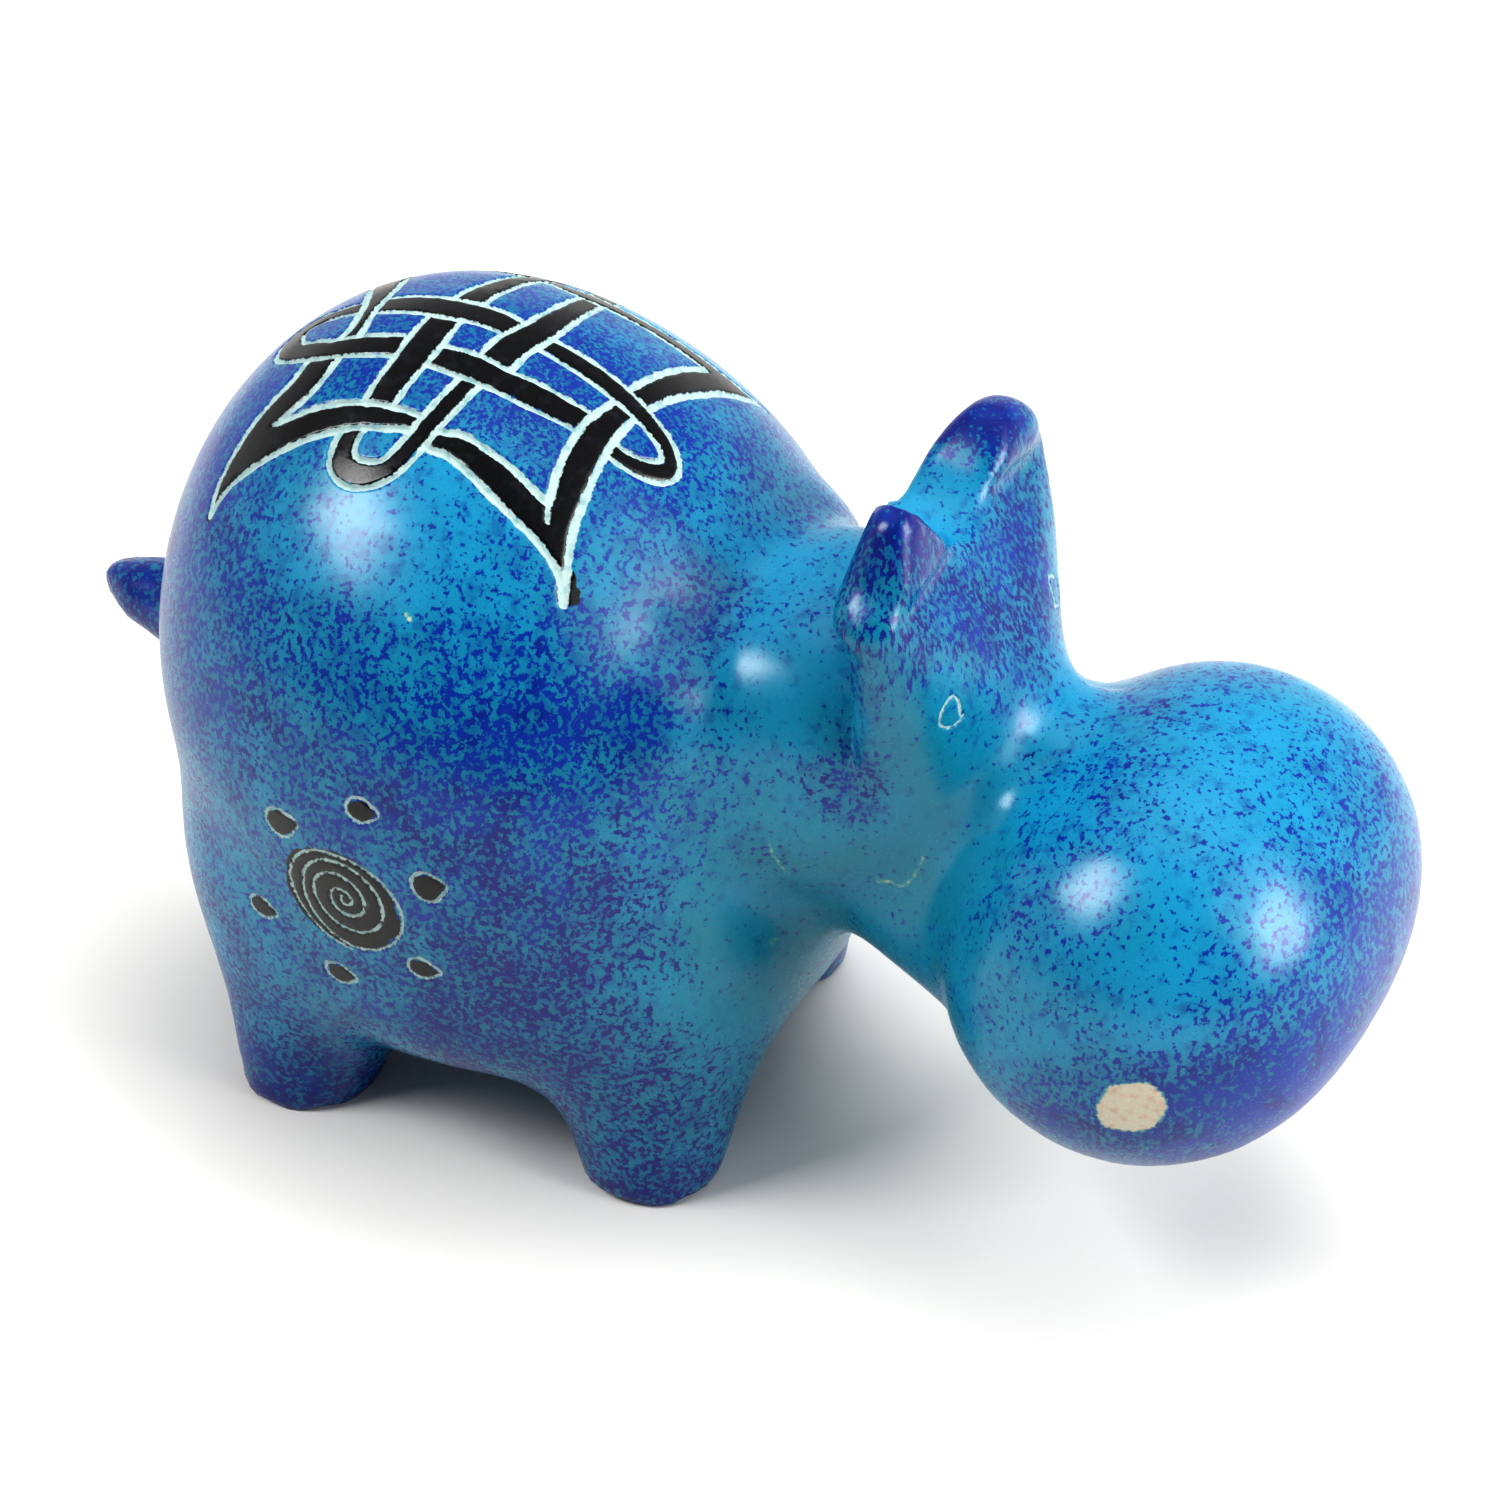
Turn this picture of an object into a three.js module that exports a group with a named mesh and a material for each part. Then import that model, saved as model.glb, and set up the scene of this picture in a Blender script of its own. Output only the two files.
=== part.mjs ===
// Soapstone hippo, carved from one block and polished.
// Millimetres, +Z up. The floor is z = 0, the muzzle points to -Y and the spine lies in x = 0.
// The origin is on the floor, midway between the muzzle and the tail.
// Every form is a rounded mass. Masses flow into each other with soft fillets, as worked stone does.
import * as THREE from 'three';

// Barrel of the body: a high rump, a low belly and a smaller shoulder.
const RUMP = { centre: [0, 27.5, 42], radii: [28.3, 25, 31.5], lean: 0 };
const BELLY = { centre: [0, 20.5, 19.5], radii: [27.5, 31.5, 18], lean: 0 };
const SHOULDER = { centre: [0, 11, 39.5], radii: [28, 21.5, 23.5], lean: -24 };
const BELLY_FILLET = 9;
const SHOULDER_FILLET = 22;

// Flat underside between the legs.
const UNDERSIDE_HEIGHT = 9;
const UNDERSIDE_EDGE = 4.5;

// Stub legs. They widen upwards into the barrel. The left front one stands a little further back.
const HIND_LEG = { start: [20, 32.8, -1], end: [14.5, 31, 22], startRadius: 6.2, endRadius: 13 };
const FRONT_LEG = { start: [17.5, -2.5, -1], end: [13, 0, 21], startRadius: 6.1, endRadius: 12.8 };
const LEFT_SETBACK = 3;
const LEG_FILLET = 5;

// Neck, narrower than the head in front of it and the barrel behind it, and the throat below it.
const NECK = { start: [0, -2.5, 41], end: [0, -20, 43.5], startRadius: 15.2, endRadius: 11.5 };
const THROAT = { start: [0, -12, 37], end: [0, -35, 28.5], startRadius: 10, endRadius: 13 };
const NECK_FILLET = 5;

// Head: a hewn wedge that widens upwards to the ears. Each face is a point and an outward direction.
const WEDGE = [
  { point: [0, -24, 66.5], facing: [0, -0.874, 0.486] },
  { point: [11.4, -28, 55], facing: [0.5, -0.87, -0.02] },
  { point: [15.8, -20, 57], facing: [1, -0.1, -0.28] },
  { point: [0, -17, 56], facing: [0.15, 1, 0] },
  { point: [0, -21, 70], facing: [0, 0, 1] },
  { point: [0, -21, 34], facing: [0, 0.3, -1] },
];
const WEDGE_EDGE = 3;
const HEAD_FILLET = 3;

// Bridge from the forehead down to a broad muzzle with two lobes.
const BRIDGE = { start: [0, -24, 46], end: [0, -38, 34.5], startRadius: 8.5, endRadius: 11 };
const MUZZLE = { centre: [7.5, -45.5, 33.2], radii: [17, 18, 19], lean: 35 };
const BRIDGE_FILLET = 4;
const MUZZLE_FILLET = 10;
const FACE_FILLET = 4;

// Ears: the upper corners of the head, proud of the forehead, with a crease at the foot of each.
const EAR = [
  { point: [10, -23.9, 67], facing: [0, -1, 0.25] },
  { point: [10, -17.6, 67], facing: [0.15, 1, 0.15] },
  { point: [17.4, -21, 67], facing: [1, -0.1, 0.45] },
  { point: [10, -21.5, 72.2], facing: [0, 0, 1] },
  { point: [10, -23, 66], facing: [0, -0.3, -1] },
];
const EAR_EDGE = 2.4;
const EAR_FILLET = 0.8;

// Saddle scooped out between the ears.
const SADDLE = [
  { point: [0, -23, 66], facing: [0, 0.5, -1] },
  { point: [4.8, -23, 66], facing: [1, 0, -0.75] },
];
const SADDLE_EDGE = 2;
const SADDLE_LIP = 1;

// Tail: a short stub.
const TAIL = { start: [0, 52, 33.6], end: [0, 62, 34.7], startRadius: 5.6, endRadius: 3.2 };
const TAIL_FILLET = 4;

// Facet sizes, as [from, step] along each axis. The ears and feet get the finer ones.
const FACETS_X = [[-36, 3.8], [-17, 1.8], [-3, 3], [3, 1.8], [17, 3.8], [36, 0]];
const FACETS_Y = [[-72, 3.6], [-28, 1.7], [-16, 3.6], [72, 0]];
const FACETS_Z = [[-2, 2], [4, 3.5], [60, 1.7], [77, 0]];
const SMOOTHING_PASSES = 6;
const SMOOTHING_SHARE = 0.5;
const SURFACE_STEPS = 3;
const SLOPE_STEP = 0.05;
const LEAST_SLOPE = 0.1;
const TINY = 1e-9;

const STONE_COLOUR = 0x1583b4;
const STONE_ROUGHNESS = 0.35;

// Distance to an ellipsoid, negative inside. Lean turns it about the X axis, in degrees.
function ellipsoid(point, { centre, radii, lean }, side = 1) {
  const angle = THREE.MathUtils.degToRad(lean);
  const x = point.x - side * centre[0];
  const dy = point.y - centre[1];
  const dz = point.z - centre[2];
  const y = dy * Math.cos(angle) + dz * Math.sin(angle);
  const z = dz * Math.cos(angle) - dy * Math.sin(angle);
  const reach = Math.hypot(x / radii[0], y / radii[1], z / radii[2]);
  const slope = Math.hypot(x / radii[0] ** 2, y / radii[1] ** 2, z / radii[2] ** 2);
  return (reach * (reach - 1)) / (slope + TINY);
}

// Distance to a round bar that tapers from one radius to another.
function bar(point, { start, end, startRadius, endRadius }) {
  const from = new THREE.Vector3(...start);
  const axis = new THREE.Vector3(...end).sub(from);
  const offset = point.clone().sub(from);
  const along = THREE.MathUtils.clamp(offset.dot(axis) / axis.lengthSq(), 0, 1);
  const radius = THREE.MathUtils.lerp(startRadius, endRadius, along);
  return offset.addScaledVector(axis, -along).length() - radius;
}

// Joins two forms and fills the corner between them.
function join(first, second, fillet) {
  const share = THREE.MathUtils.clamp(0.5 + (second - first) / (2 * fillet), 0, 1);
  return THREE.MathUtils.lerp(second, first, share) - fillet * share * (1 - share);
}

// Takes a cutter out of a form, with a softened edge.
function carve(form, cutter, edge) {
  return -join(-form, cutter, edge);
}

function barrel(point) {
  const rear = join(ellipsoid(point, RUMP), ellipsoid(point, BELLY), BELLY_FILLET);
  const whole = join(rear, ellipsoid(point, SHOULDER), SHOULDER_FILLET);
  return carve(whole, point.z - UNDERSIDE_HEIGHT, UNDERSIDE_EDGE);
}

// Depth behind a flat face, negative inside.
function flat(point, face) {
  const facing = new THREE.Vector3(...face.facing).normalize();
  return point.clone().sub(new THREE.Vector3(...face.point)).dot(facing);
}

// The space enclosed by flat faces, with rounded edges.
function hewn(point, faces, edge) {
  return faces.map((face) => flat(point, face)).reduce((form, cut) => -join(-form, -cut, edge));
}

function head(point, halved) {
  const plate = join(hewn(halved, WEDGE, WEDGE_EDGE), hewn(halved, EAR, EAR_EDGE), EAR_FILLET);
  const saddle = hewn(halved, SADDLE, SADDLE_EDGE);
  const face = join(carve(plate, saddle, SADDLE_LIP), bar(point, BRIDGE), BRIDGE_FILLET);
  const muzzle = join(ellipsoid(point, MUZZLE), ellipsoid(point, MUZZLE, -1), MUZZLE_FILLET);
  return join(face, muzzle, FACE_FILLET);
}

function hippo(point) {
  const halved = new THREE.Vector3(Math.abs(point.x), point.y, point.z);
  const stepped = halved.clone();
  stepped.y -= point.x > 0 ? LEFT_SETBACK : 0;
  let form = barrel(point);
  form = join(form, bar(halved, HIND_LEG), LEG_FILLET);
  form = join(form, bar(stepped, FRONT_LEG), LEG_FILLET);
  form = join(form, join(bar(point, NECK), bar(point, THROAT), NECK_FILLET), NECK_FILLET);
  form = join(form, head(point, halved), HEAD_FILLET);
  return join(form, bar(point, TAIL), TAIL_FILLET);
}

function slope(field, point) {
  const rise = (dx, dy, dz) => {
    const step = new THREE.Vector3(dx, dy, dz).multiplyScalar(SLOPE_STEP);
    return (field(point.clone().add(step)) - field(point.clone().sub(step))) / (2 * SLOPE_STEP);
  };
  return new THREE.Vector3(rise(1, 0, 0), rise(0, 1, 0), rise(0, 0, 1));
}

// Grid lines along one axis, evenly spaced between the stops.
function gridLines(stops) {
  const lines = [stops[0][0]];
  for (let i = 0; i + 1 < stops.length; i += 1) {
    const [from, step] = stops[i];
    const to = stops[i + 1][0];
    const count = Math.round((to - from) / step);
    for (let n = 1; n <= count; n += 1) {
      lines.push(from + ((to - from) * n) / count);
    }
  }
  return lines;
}

// One corner goes in each grid cell that the surface crosses, and one four-sided facet
// across each grid edge that it crosses. Nothing lies below the floor.
class Facets {
  constructor(field, lines) {
    this.field = field;
    this.lines = lines;
    this.corners = [];
    this.quads = [];
    this.cellCorner = new Map();
    this.measure();
    this.placeCorners();
    this.placeQuads();
  }

  key(i, j, k) {
    return (i * this.lines[1].length + j) * this.lines[2].length + k;
  }

  point(i, j, k) {
    return new THREE.Vector3(this.lines[0][i], this.lines[1][j], this.lines[2][k]);
  }

  measure() {
    const [xs, ys, zs] = this.lines;
    this.values = new Float64Array(xs.length * ys.length * zs.length);
    for (let i = 0; i < xs.length; i += 1) {
      for (let j = 0; j < ys.length; j += 1) {
        for (let k = 0; k < zs.length; k += 1) {
          const above = zs[k] >= 0;
          this.values[this.key(i, j, k)] = above ? this.field(this.point(i, j, k)) : 1;
        }
      }
    }
  }

  // Where the surface crosses the grid edge between two grid points, or null.
  crossing(from, to) {
    const start = this.values[this.key(...from)];
    const end = this.values[this.key(...to)];
    if (start < 0 === end < 0) {
      return null;
    }
    const spot = this.point(...from).lerp(this.point(...to), start / (start - end));
    spot.z = Math.max(spot.z, 0);
    return spot;
  }

  placeCorners() {
    const [xs, ys, zs] = this.lines;
    for (let i = 0; i + 1 < xs.length; i += 1) {
      for (let j = 0; j + 1 < ys.length; j += 1) {
        for (let k = 0; k + 1 < zs.length; k += 1) {
          this.placeCorner(i, j, k);
        }
      }
    }
  }

  placeCorner(i, j, k) {
    const spots = [];
    for (let axis = 0; axis < 3; axis += 1) {
      for (let near = 0; near < 4; near += 1) {
        const from = [i, j, k];
        from[(axis + 1) % 3] += near & 1;
        from[(axis + 2) % 3] += near >> 1;
        const to = [...from];
        to[axis] += 1;
        const spot = this.crossing(from, to);
        if (spot) {
          spots.push(spot);
        }
      }
    }
    if (spots.length === 0) {
      return;
    }
    const middle = new THREE.Vector3();
    spots.forEach((spot) => middle.addScaledVector(spot, 1 / spots.length));
    const onFloor = this.lines[2][k] < 0;
    middle.z = onFloor ? 0 : middle.z;
    this.cellCorner.set(this.key(i, j, k), this.corners.length);
    this.corners.push({ place: middle, onFloor, neighbours: new Set(), onRim: false });
  }

  placeQuads() {
    const counts = this.lines.map((line) => line.length);
    for (let i = 0; i < counts[0]; i += 1) {
      for (let j = 0; j < counts[1]; j += 1) {
        for (let k = 0; k < counts[2]; k += 1) {
          for (let axis = 0; axis < 3; axis += 1) {
            this.placeQuad([i, j, k], axis, counts);
          }
        }
      }
    }
  }

  placeQuad(from, axis, counts) {
    const to = [...from];
    to[axis] += 1;
    if (to[axis] >= counts[axis]) {
      return;
    }
    const inside = this.values[this.key(...from)] < 0;
    if (inside === this.values[this.key(...to)] < 0) {
      return;
    }
    const cell = (back, side) => {
      const at = [...from];
      at[(axis + 1) % 3] -= back;
      at[(axis + 2) % 3] -= side;
      return this.cellCorner.get(this.key(...at));
    };
    const quad = [cell(1, 1), cell(0, 1), cell(0, 0), cell(1, 0)];
    if (!inside) {
      quad.reverse();
    }
    quad.forEach((corner, n) => {
      this.corners[corner].neighbours.add(quad[(n + 1) % 4]);
      this.corners[corner].neighbours.add(quad[(n + 3) % 4]);
    });
    this.quads.push(quad);
  }

  // Draws one corner back onto the surface. A sole's rim moves along the floor only.
  settle(corner) {
    if (corner.onFloor && !corner.onRim) {
      return;
    }
    for (let n = 0; n < SURFACE_STEPS; n += 1) {
      const rise = slope(this.field, corner.place);
      rise.z = corner.onFloor ? 0 : rise.z;
      const gap = this.field(corner.place);
      corner.place.addScaledVector(rise, -gap / Math.max(rise.lengthSq(), LEAST_SLOPE));
    }
  }

  // Evens out the facets while every corner stays on the surface.
  smooth(passes) {
    this.corners.forEach((corner) => {
      const around = [...corner.neighbours].map((n) => this.corners[n]);
      corner.onRim = corner.onFloor && around.some((other) => !other.onFloor);
      this.settle(corner);
    });
    for (let pass = 0; pass < passes; pass += 1) {
      const moves = this.corners.map((corner) => this.evenPlace(corner));
      this.corners.forEach((corner, n) => {
        corner.place.copy(moves[n]);
        this.settle(corner);
      });
    }
  }

  evenPlace(corner) {
    const joined = [...corner.neighbours].map((n) => this.corners[n]);
    const around = joined.filter((other) => other.onRim || !corner.onRim);
    const middle = new THREE.Vector3();
    around.forEach((other) => middle.addScaledVector(other.place, 1 / around.length));
    middle.z = corner.onFloor ? 0 : middle.z;
    return corner.place.clone().lerp(middle, SMOOTHING_SHARE);
  }

  // How far the middle of the line between two corners lies from the surface.
  miss(first, second) {
    const start = this.corners[first].place;
    return Math.abs(this.field(start.clone().lerp(this.corners[second].place, 0.5)));
  }

  // Each quad becomes two triangles along the diagonal that keeps nearer to the surface.
  geometry() {
    const index = [];
    this.quads.forEach(([a, b, c, d]) => {
      const closer = this.miss(a, c) < this.miss(b, d);
      index.push(...(closer ? [a, b, c, a, c, d] : [b, c, d, b, d, a]));
    });
    const geometry = new THREE.BufferGeometry().setFromPoints(this.corners.map((c) => c.place));
    geometry.setIndex(index);
    geometry.computeVertexNormals();
    return geometry;
  }
}

function hippoGeometry() {
  const facets = new Facets(hippo, [FACETS_X, FACETS_Y, FACETS_Z].map(gridLines));
  facets.smooth(SMOOTHING_PASSES);
  const geometry = facets.geometry();
  geometry.computeBoundingBox();
  const middle = geometry.boundingBox.getCenter(new THREE.Vector3());
  return geometry.translate(-middle.x, -middle.y, 0);
}

const stone = new THREE.MeshStandardMaterial({
  color: STONE_COLOUR,
  roughness: STONE_ROUGHNESS,
  metalness: 0,
});
const figurine = new THREE.Mesh(hippoGeometry(), stone);
figurine.name = 'hippo';

const model = new THREE.Group();
model.add(figurine);

export default model;
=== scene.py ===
"""Looks, stage and camera of a small hippo figurine in hand-carved, dyed and waxed soapstone.

The body is a finer copy of the solid model. The scratched ornament is cut into it as shallow
grooves. The dyes, the black paint and the bare stone are one finish, which reads distances in
millimetres that are stored on the mesh.
"""

import logging
import math
from dataclasses import dataclass, field
from enum import Enum

import bpy
import numpy as np
from mathutils import Matrix, Vector
from mathutils.kdtree import KDTree

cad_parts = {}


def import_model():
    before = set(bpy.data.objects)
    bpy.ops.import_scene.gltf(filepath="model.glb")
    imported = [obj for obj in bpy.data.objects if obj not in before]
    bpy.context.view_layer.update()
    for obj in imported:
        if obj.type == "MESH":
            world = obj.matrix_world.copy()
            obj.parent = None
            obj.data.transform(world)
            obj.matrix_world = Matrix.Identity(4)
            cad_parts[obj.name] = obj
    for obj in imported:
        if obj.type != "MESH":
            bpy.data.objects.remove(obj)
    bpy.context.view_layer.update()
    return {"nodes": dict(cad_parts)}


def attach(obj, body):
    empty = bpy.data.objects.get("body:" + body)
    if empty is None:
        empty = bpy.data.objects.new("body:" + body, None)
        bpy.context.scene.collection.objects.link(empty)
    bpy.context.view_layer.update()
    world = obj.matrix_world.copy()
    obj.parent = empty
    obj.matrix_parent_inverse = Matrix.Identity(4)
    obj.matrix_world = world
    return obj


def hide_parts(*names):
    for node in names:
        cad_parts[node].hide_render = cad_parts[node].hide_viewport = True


LOG = logging.getLogger("hippo")
MM = 0.001
UNMARKED = 9.0
PATH_STEP = 0.1


def linear(colour: str) -> tuple[float, float, float, float]:
    """Turn an sRGB hex value to linear.

    Args:
        colour: Six hex digits, red first.

    Returns:
        Linear red, green and blue, and full opacity.
    """
    channels = [int(colour[i : i + 2], 16) / 255 for i in (0, 2, 4)]
    red, green, blue = [
        c / 12.92 if c <= 0.04045 else ((c + 0.055) / 1.055) ** 2.4 for c in channels
    ]
    return red, green, blue, 1.0


def add_node(
    tree: bpy.types.NodeTree, kind: str, settings: dict, inputs: dict
) -> bpy.types.Node:
    """Add one node with its settings and links.

    Args:
        tree: The node tree it goes in.
        kind: Blender's name of the node type, without its first word.
        settings: The node's own properties.
        inputs: For each socket, a value, the output that feeds it, or a node whose first
            working output feeds it.

    Returns:
        The new node.
    """
    node = tree.nodes.new("ShaderNode" + kind)
    for name, value in settings.items():
        setattr(node, name, value)
    for key, value in inputs.items():
        if isinstance(value, bpy.types.Node):
            value = next(socket for socket in value.outputs if socket.enabled)
        if isinstance(value, bpy.types.NodeSocket):
            tree.links.new(value, node.inputs[key])
        else:
            node.inputs[key].default_value = value
    return node


def flowing(points: list[tuple[float, float]], closed: bool = False) -> np.ndarray:
    """Run a smooth hand-drawn path through points.

    Args:
        points: The points in millimetres.
        closed: True for a loop.

    Returns:
        The path, a point every tenth of a millimetre or so.
    """
    p = np.array(points, float)
    if closed:
        held = np.vstack([p[-1:], p, p[:2]])
    else:
        held = np.vstack([2 * p[:1] - p[1:2], p, 2 * p[-1:] - p[-2:-1]])
    parts = []
    for a, b, c, d in zip(held[:-3], held[1:-2], held[2:-1], held[3:]):
        count = max(2, math.ceil(float(np.linalg.norm(c - b)) / PATH_STEP))
        t = np.linspace(0, 1, count, endpoint=False)[:, None]
        parts.append(
            0.5
            * (
                2 * b
                + (c - a) * t
                + (2 * a - 5 * b + 4 * c - d) * t**2
                + (3 * b - a - 3 * c + d) * t**3
            )
        )
    parts.append(p[:1] if closed else p[-1:])
    return np.vstack(parts)


def inside(points: np.ndarray, loop: np.ndarray) -> np.ndarray:
    """Tell which points lie inside a closed loop.

    Args:
        points: The points, one a row.
        loop: The loop's points in order.

    Returns:
        True for each point inside.
    """
    held = np.zeros(len(points), bool)
    x, y = points[:, 0], points[:, 1]
    for (ax, ay), (bx, by) in zip(loop, np.roll(loop, -1, axis=0)):
        if ay != by:
            crosses = (ay > y) != (by > y)
            held ^= crosses & (x < ax + (y - ay) * (bx - ax) / (by - ay))
    return held


def nearest(points: np.ndarray, marks: np.ndarray) -> tuple[np.ndarray, np.ndarray]:
    """Find each point's nearest mark.

    Args:
        points: The points, one a row.
        marks: The marks, one a row, with as many columns.

    Returns:
        The distances, and the marks' row numbers.
    """
    tree = KDTree(len(marks))
    flat = marks.shape[1] == 2
    for i, mark in enumerate(marks.tolist()):
        tree.insert([*mark, 0.0] if flat else mark, i)
    tree.balance()
    found = [tree.find([*p, 0.0] if flat else p) for p in points.tolist()]
    return np.array([f[2] for f in found]), np.array([f[1] for f in found], int)


class Side(Enum):
    """The figurine's two sides. The value is the sign of x there."""

    RIGHT = -1
    LEFT = 1


@dataclass(frozen=True)
class BackChart:
    """A drawing sheet wrapped over the back: u across, v towards the tail, in millimetres."""

    centre: tuple[float, float, float] = (0.0, 27.5, 42.0)
    radius: float = 30.0

    def flatten(
        self, points: np.ndarray, normals: np.ndarray
    ) -> tuple[np.ndarray, np.ndarray]:
        """Read places on the sheet.

        Args:
            points: Points on the body in millimetres.
            normals: Not used.

        Returns:
            The places on the sheet, and True where the sheet covers the body.
        """
        x, y, z = (points - np.array(self.centre)).T
        across = np.arctan2(x, z) * self.radius
        along = np.arctan2(y, np.hypot(x, z)) * self.radius
        reached = (points[:, 2] > 30) & (points[:, 1] > -20) & (z > -15)
        return np.stack([across, along], 1), reached


@dataclass(frozen=True)
class SideChart:
    """A drawing sheet held flat against one side: u forwards, v upwards, in millimetres."""

    side: Side
    least_facing: float = 0.15

    def flatten(
        self, points: np.ndarray, normals: np.ndarray
    ) -> tuple[np.ndarray, np.ndarray]:
        """Read places on the sheet.

        Args:
            points: Points on the body in millimetres.
            normals: The body's outward directions there.

        Returns:
            The places on the sheet, and True where the sheet covers the body.
        """
        facing = normals[:, 0] * self.side.value > self.least_facing
        outer = points[:, 0] * self.side.value > 2
        return np.stack([-points[:, 1], points[:, 2]], 1), facing & outer


@dataclass(frozen=True)
class HeadChart:
    """A drawing sheet bent round the face: u across, v upwards, in millimetres."""

    axis: tuple[float, float] = (0.0, -14.0)
    radius: float = 18.0
    least_height: float = 46.0

    def flatten(
        self, points: np.ndarray, normals: np.ndarray
    ) -> tuple[np.ndarray, np.ndarray]:
        """Read places on the sheet.

        Args:
            points: Points on the body in millimetres.
            normals: Not used.

        Returns:
            The places on the sheet, and True where the sheet covers the body.
        """
        x, y = points[:, 0] - self.axis[0], self.axis[1] - points[:, 1]
        across = np.arctan2(x, y) * self.radius
        reached = (y > 4) & (points[:, 2] > self.least_height)
        return np.stack([across, points[:, 2]], 1), reached


@dataclass(frozen=True)
class Stroke:
    """One scratched line: its path, width and depth in millimetres."""

    path: np.ndarray
    width: float
    depth: float = 0.0
    unsteady: float = 0.2
    hold: int = 7

    def half_widths(self) -> np.ndarray:
        """Vary half the width along the line, as a point held by hand does."""
        count = len(self.path) // self.hold + 2
        swings = np.random.default_rng(len(self.path)).uniform(-1, 1, count)
        along = np.linspace(0, count - 1, len(self.path))
        return self.width / 2 * (1 + self.unsteady * np.interp(along, range(count), swings))


@dataclass(frozen=True)
class Area:
    """One painted area: a loop, and the loops left open in it."""

    edge: np.ndarray
    holes: tuple[np.ndarray, ...] = ()

    def covers(self, points: np.ndarray) -> np.ndarray:
        """Tell which points the area covers."""
        held = inside(points, self.edge[::3])
        for hole in self.holes:
            held &= ~inside(points, hole[::3])
        return held

    def signed(self, points: np.ndarray) -> np.ndarray:
        """Give each point's distance to the area's edge, below zero inside."""
        away, _ = nearest(points, np.vstack([self.edge, *self.holes]))
        return np.where(self.covers(points), -away, away)


@dataclass
class Marks:
    """What the ornament does to a set of points: distances in millimetres, below zero inside."""

    line: np.ndarray
    paint: np.ndarray
    bare: np.ndarray
    cut: np.ndarray

    @classmethod
    def blank(cls, count: int) -> "Marks":
        """Make marks for points that nothing touches."""
        far = [np.full(count, UNMARKED) for _ in range(3)]
        return cls(*far, np.zeros(count))


@dataclass
class Drawing:
    """Strokes, scuffs and areas drawn on one sheet."""

    chart: BackChart | SideChart | HeadChart
    strokes: list[Stroke] = field(default_factory=list)
    painted: list[Area] = field(default_factory=list)
    stripped: list[Area] = field(default_factory=list)
    scuffs: list[Stroke] = field(default_factory=list)
    reach: float = 2.5

    def mark(self, points: np.ndarray, normals: np.ndarray, marks: Marks) -> None:
        """Add this drawing to the marks of a set of points.

        Args:
            points: Points on the body in millimetres.
            normals: The body's outward directions there.
            marks: The marks to add to.
        """
        flat, there = self.chart.flatten(points, normals)
        edges = [s.path for s in self.strokes + self.scuffs]
        edges += [a.edge for a in self.painted + self.stripped]
        everything = np.vstack(edges)
        low, high = everything.min(0) - self.reach, everything.max(0) + self.reach
        there &= ((flat > low) & (flat < high)).all(1)
        rows = np.flatnonzero(there)
        if not len(rows):
            return
        flat = flat[rows]
        for strokes, held in ((self.strokes, marks.line), (self.scuffs, marks.bare)):
            if not strokes:
                continue
            half = np.concatenate([s.half_widths() for s in strokes])
            deep = np.concatenate([np.full(len(s.path), s.depth) for s in strokes])
            away, which = nearest(flat, np.vstack([s.path for s in strokes]))
            held[rows] = np.minimum(held[rows], away - half[which])
            share = np.clip(1.25 - away / half[which], 0, 1)
            cut = deep[which] * share * share * (3 - 2 * share)
            marks.cut[rows] = np.maximum(marks.cut[rows], cut)
        for areas, held in ((self.painted, marks.paint), (self.stripped, marks.bare)):
            for area in areas:
                held[rows] = np.minimum(held[rows], area.signed(flat))


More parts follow.
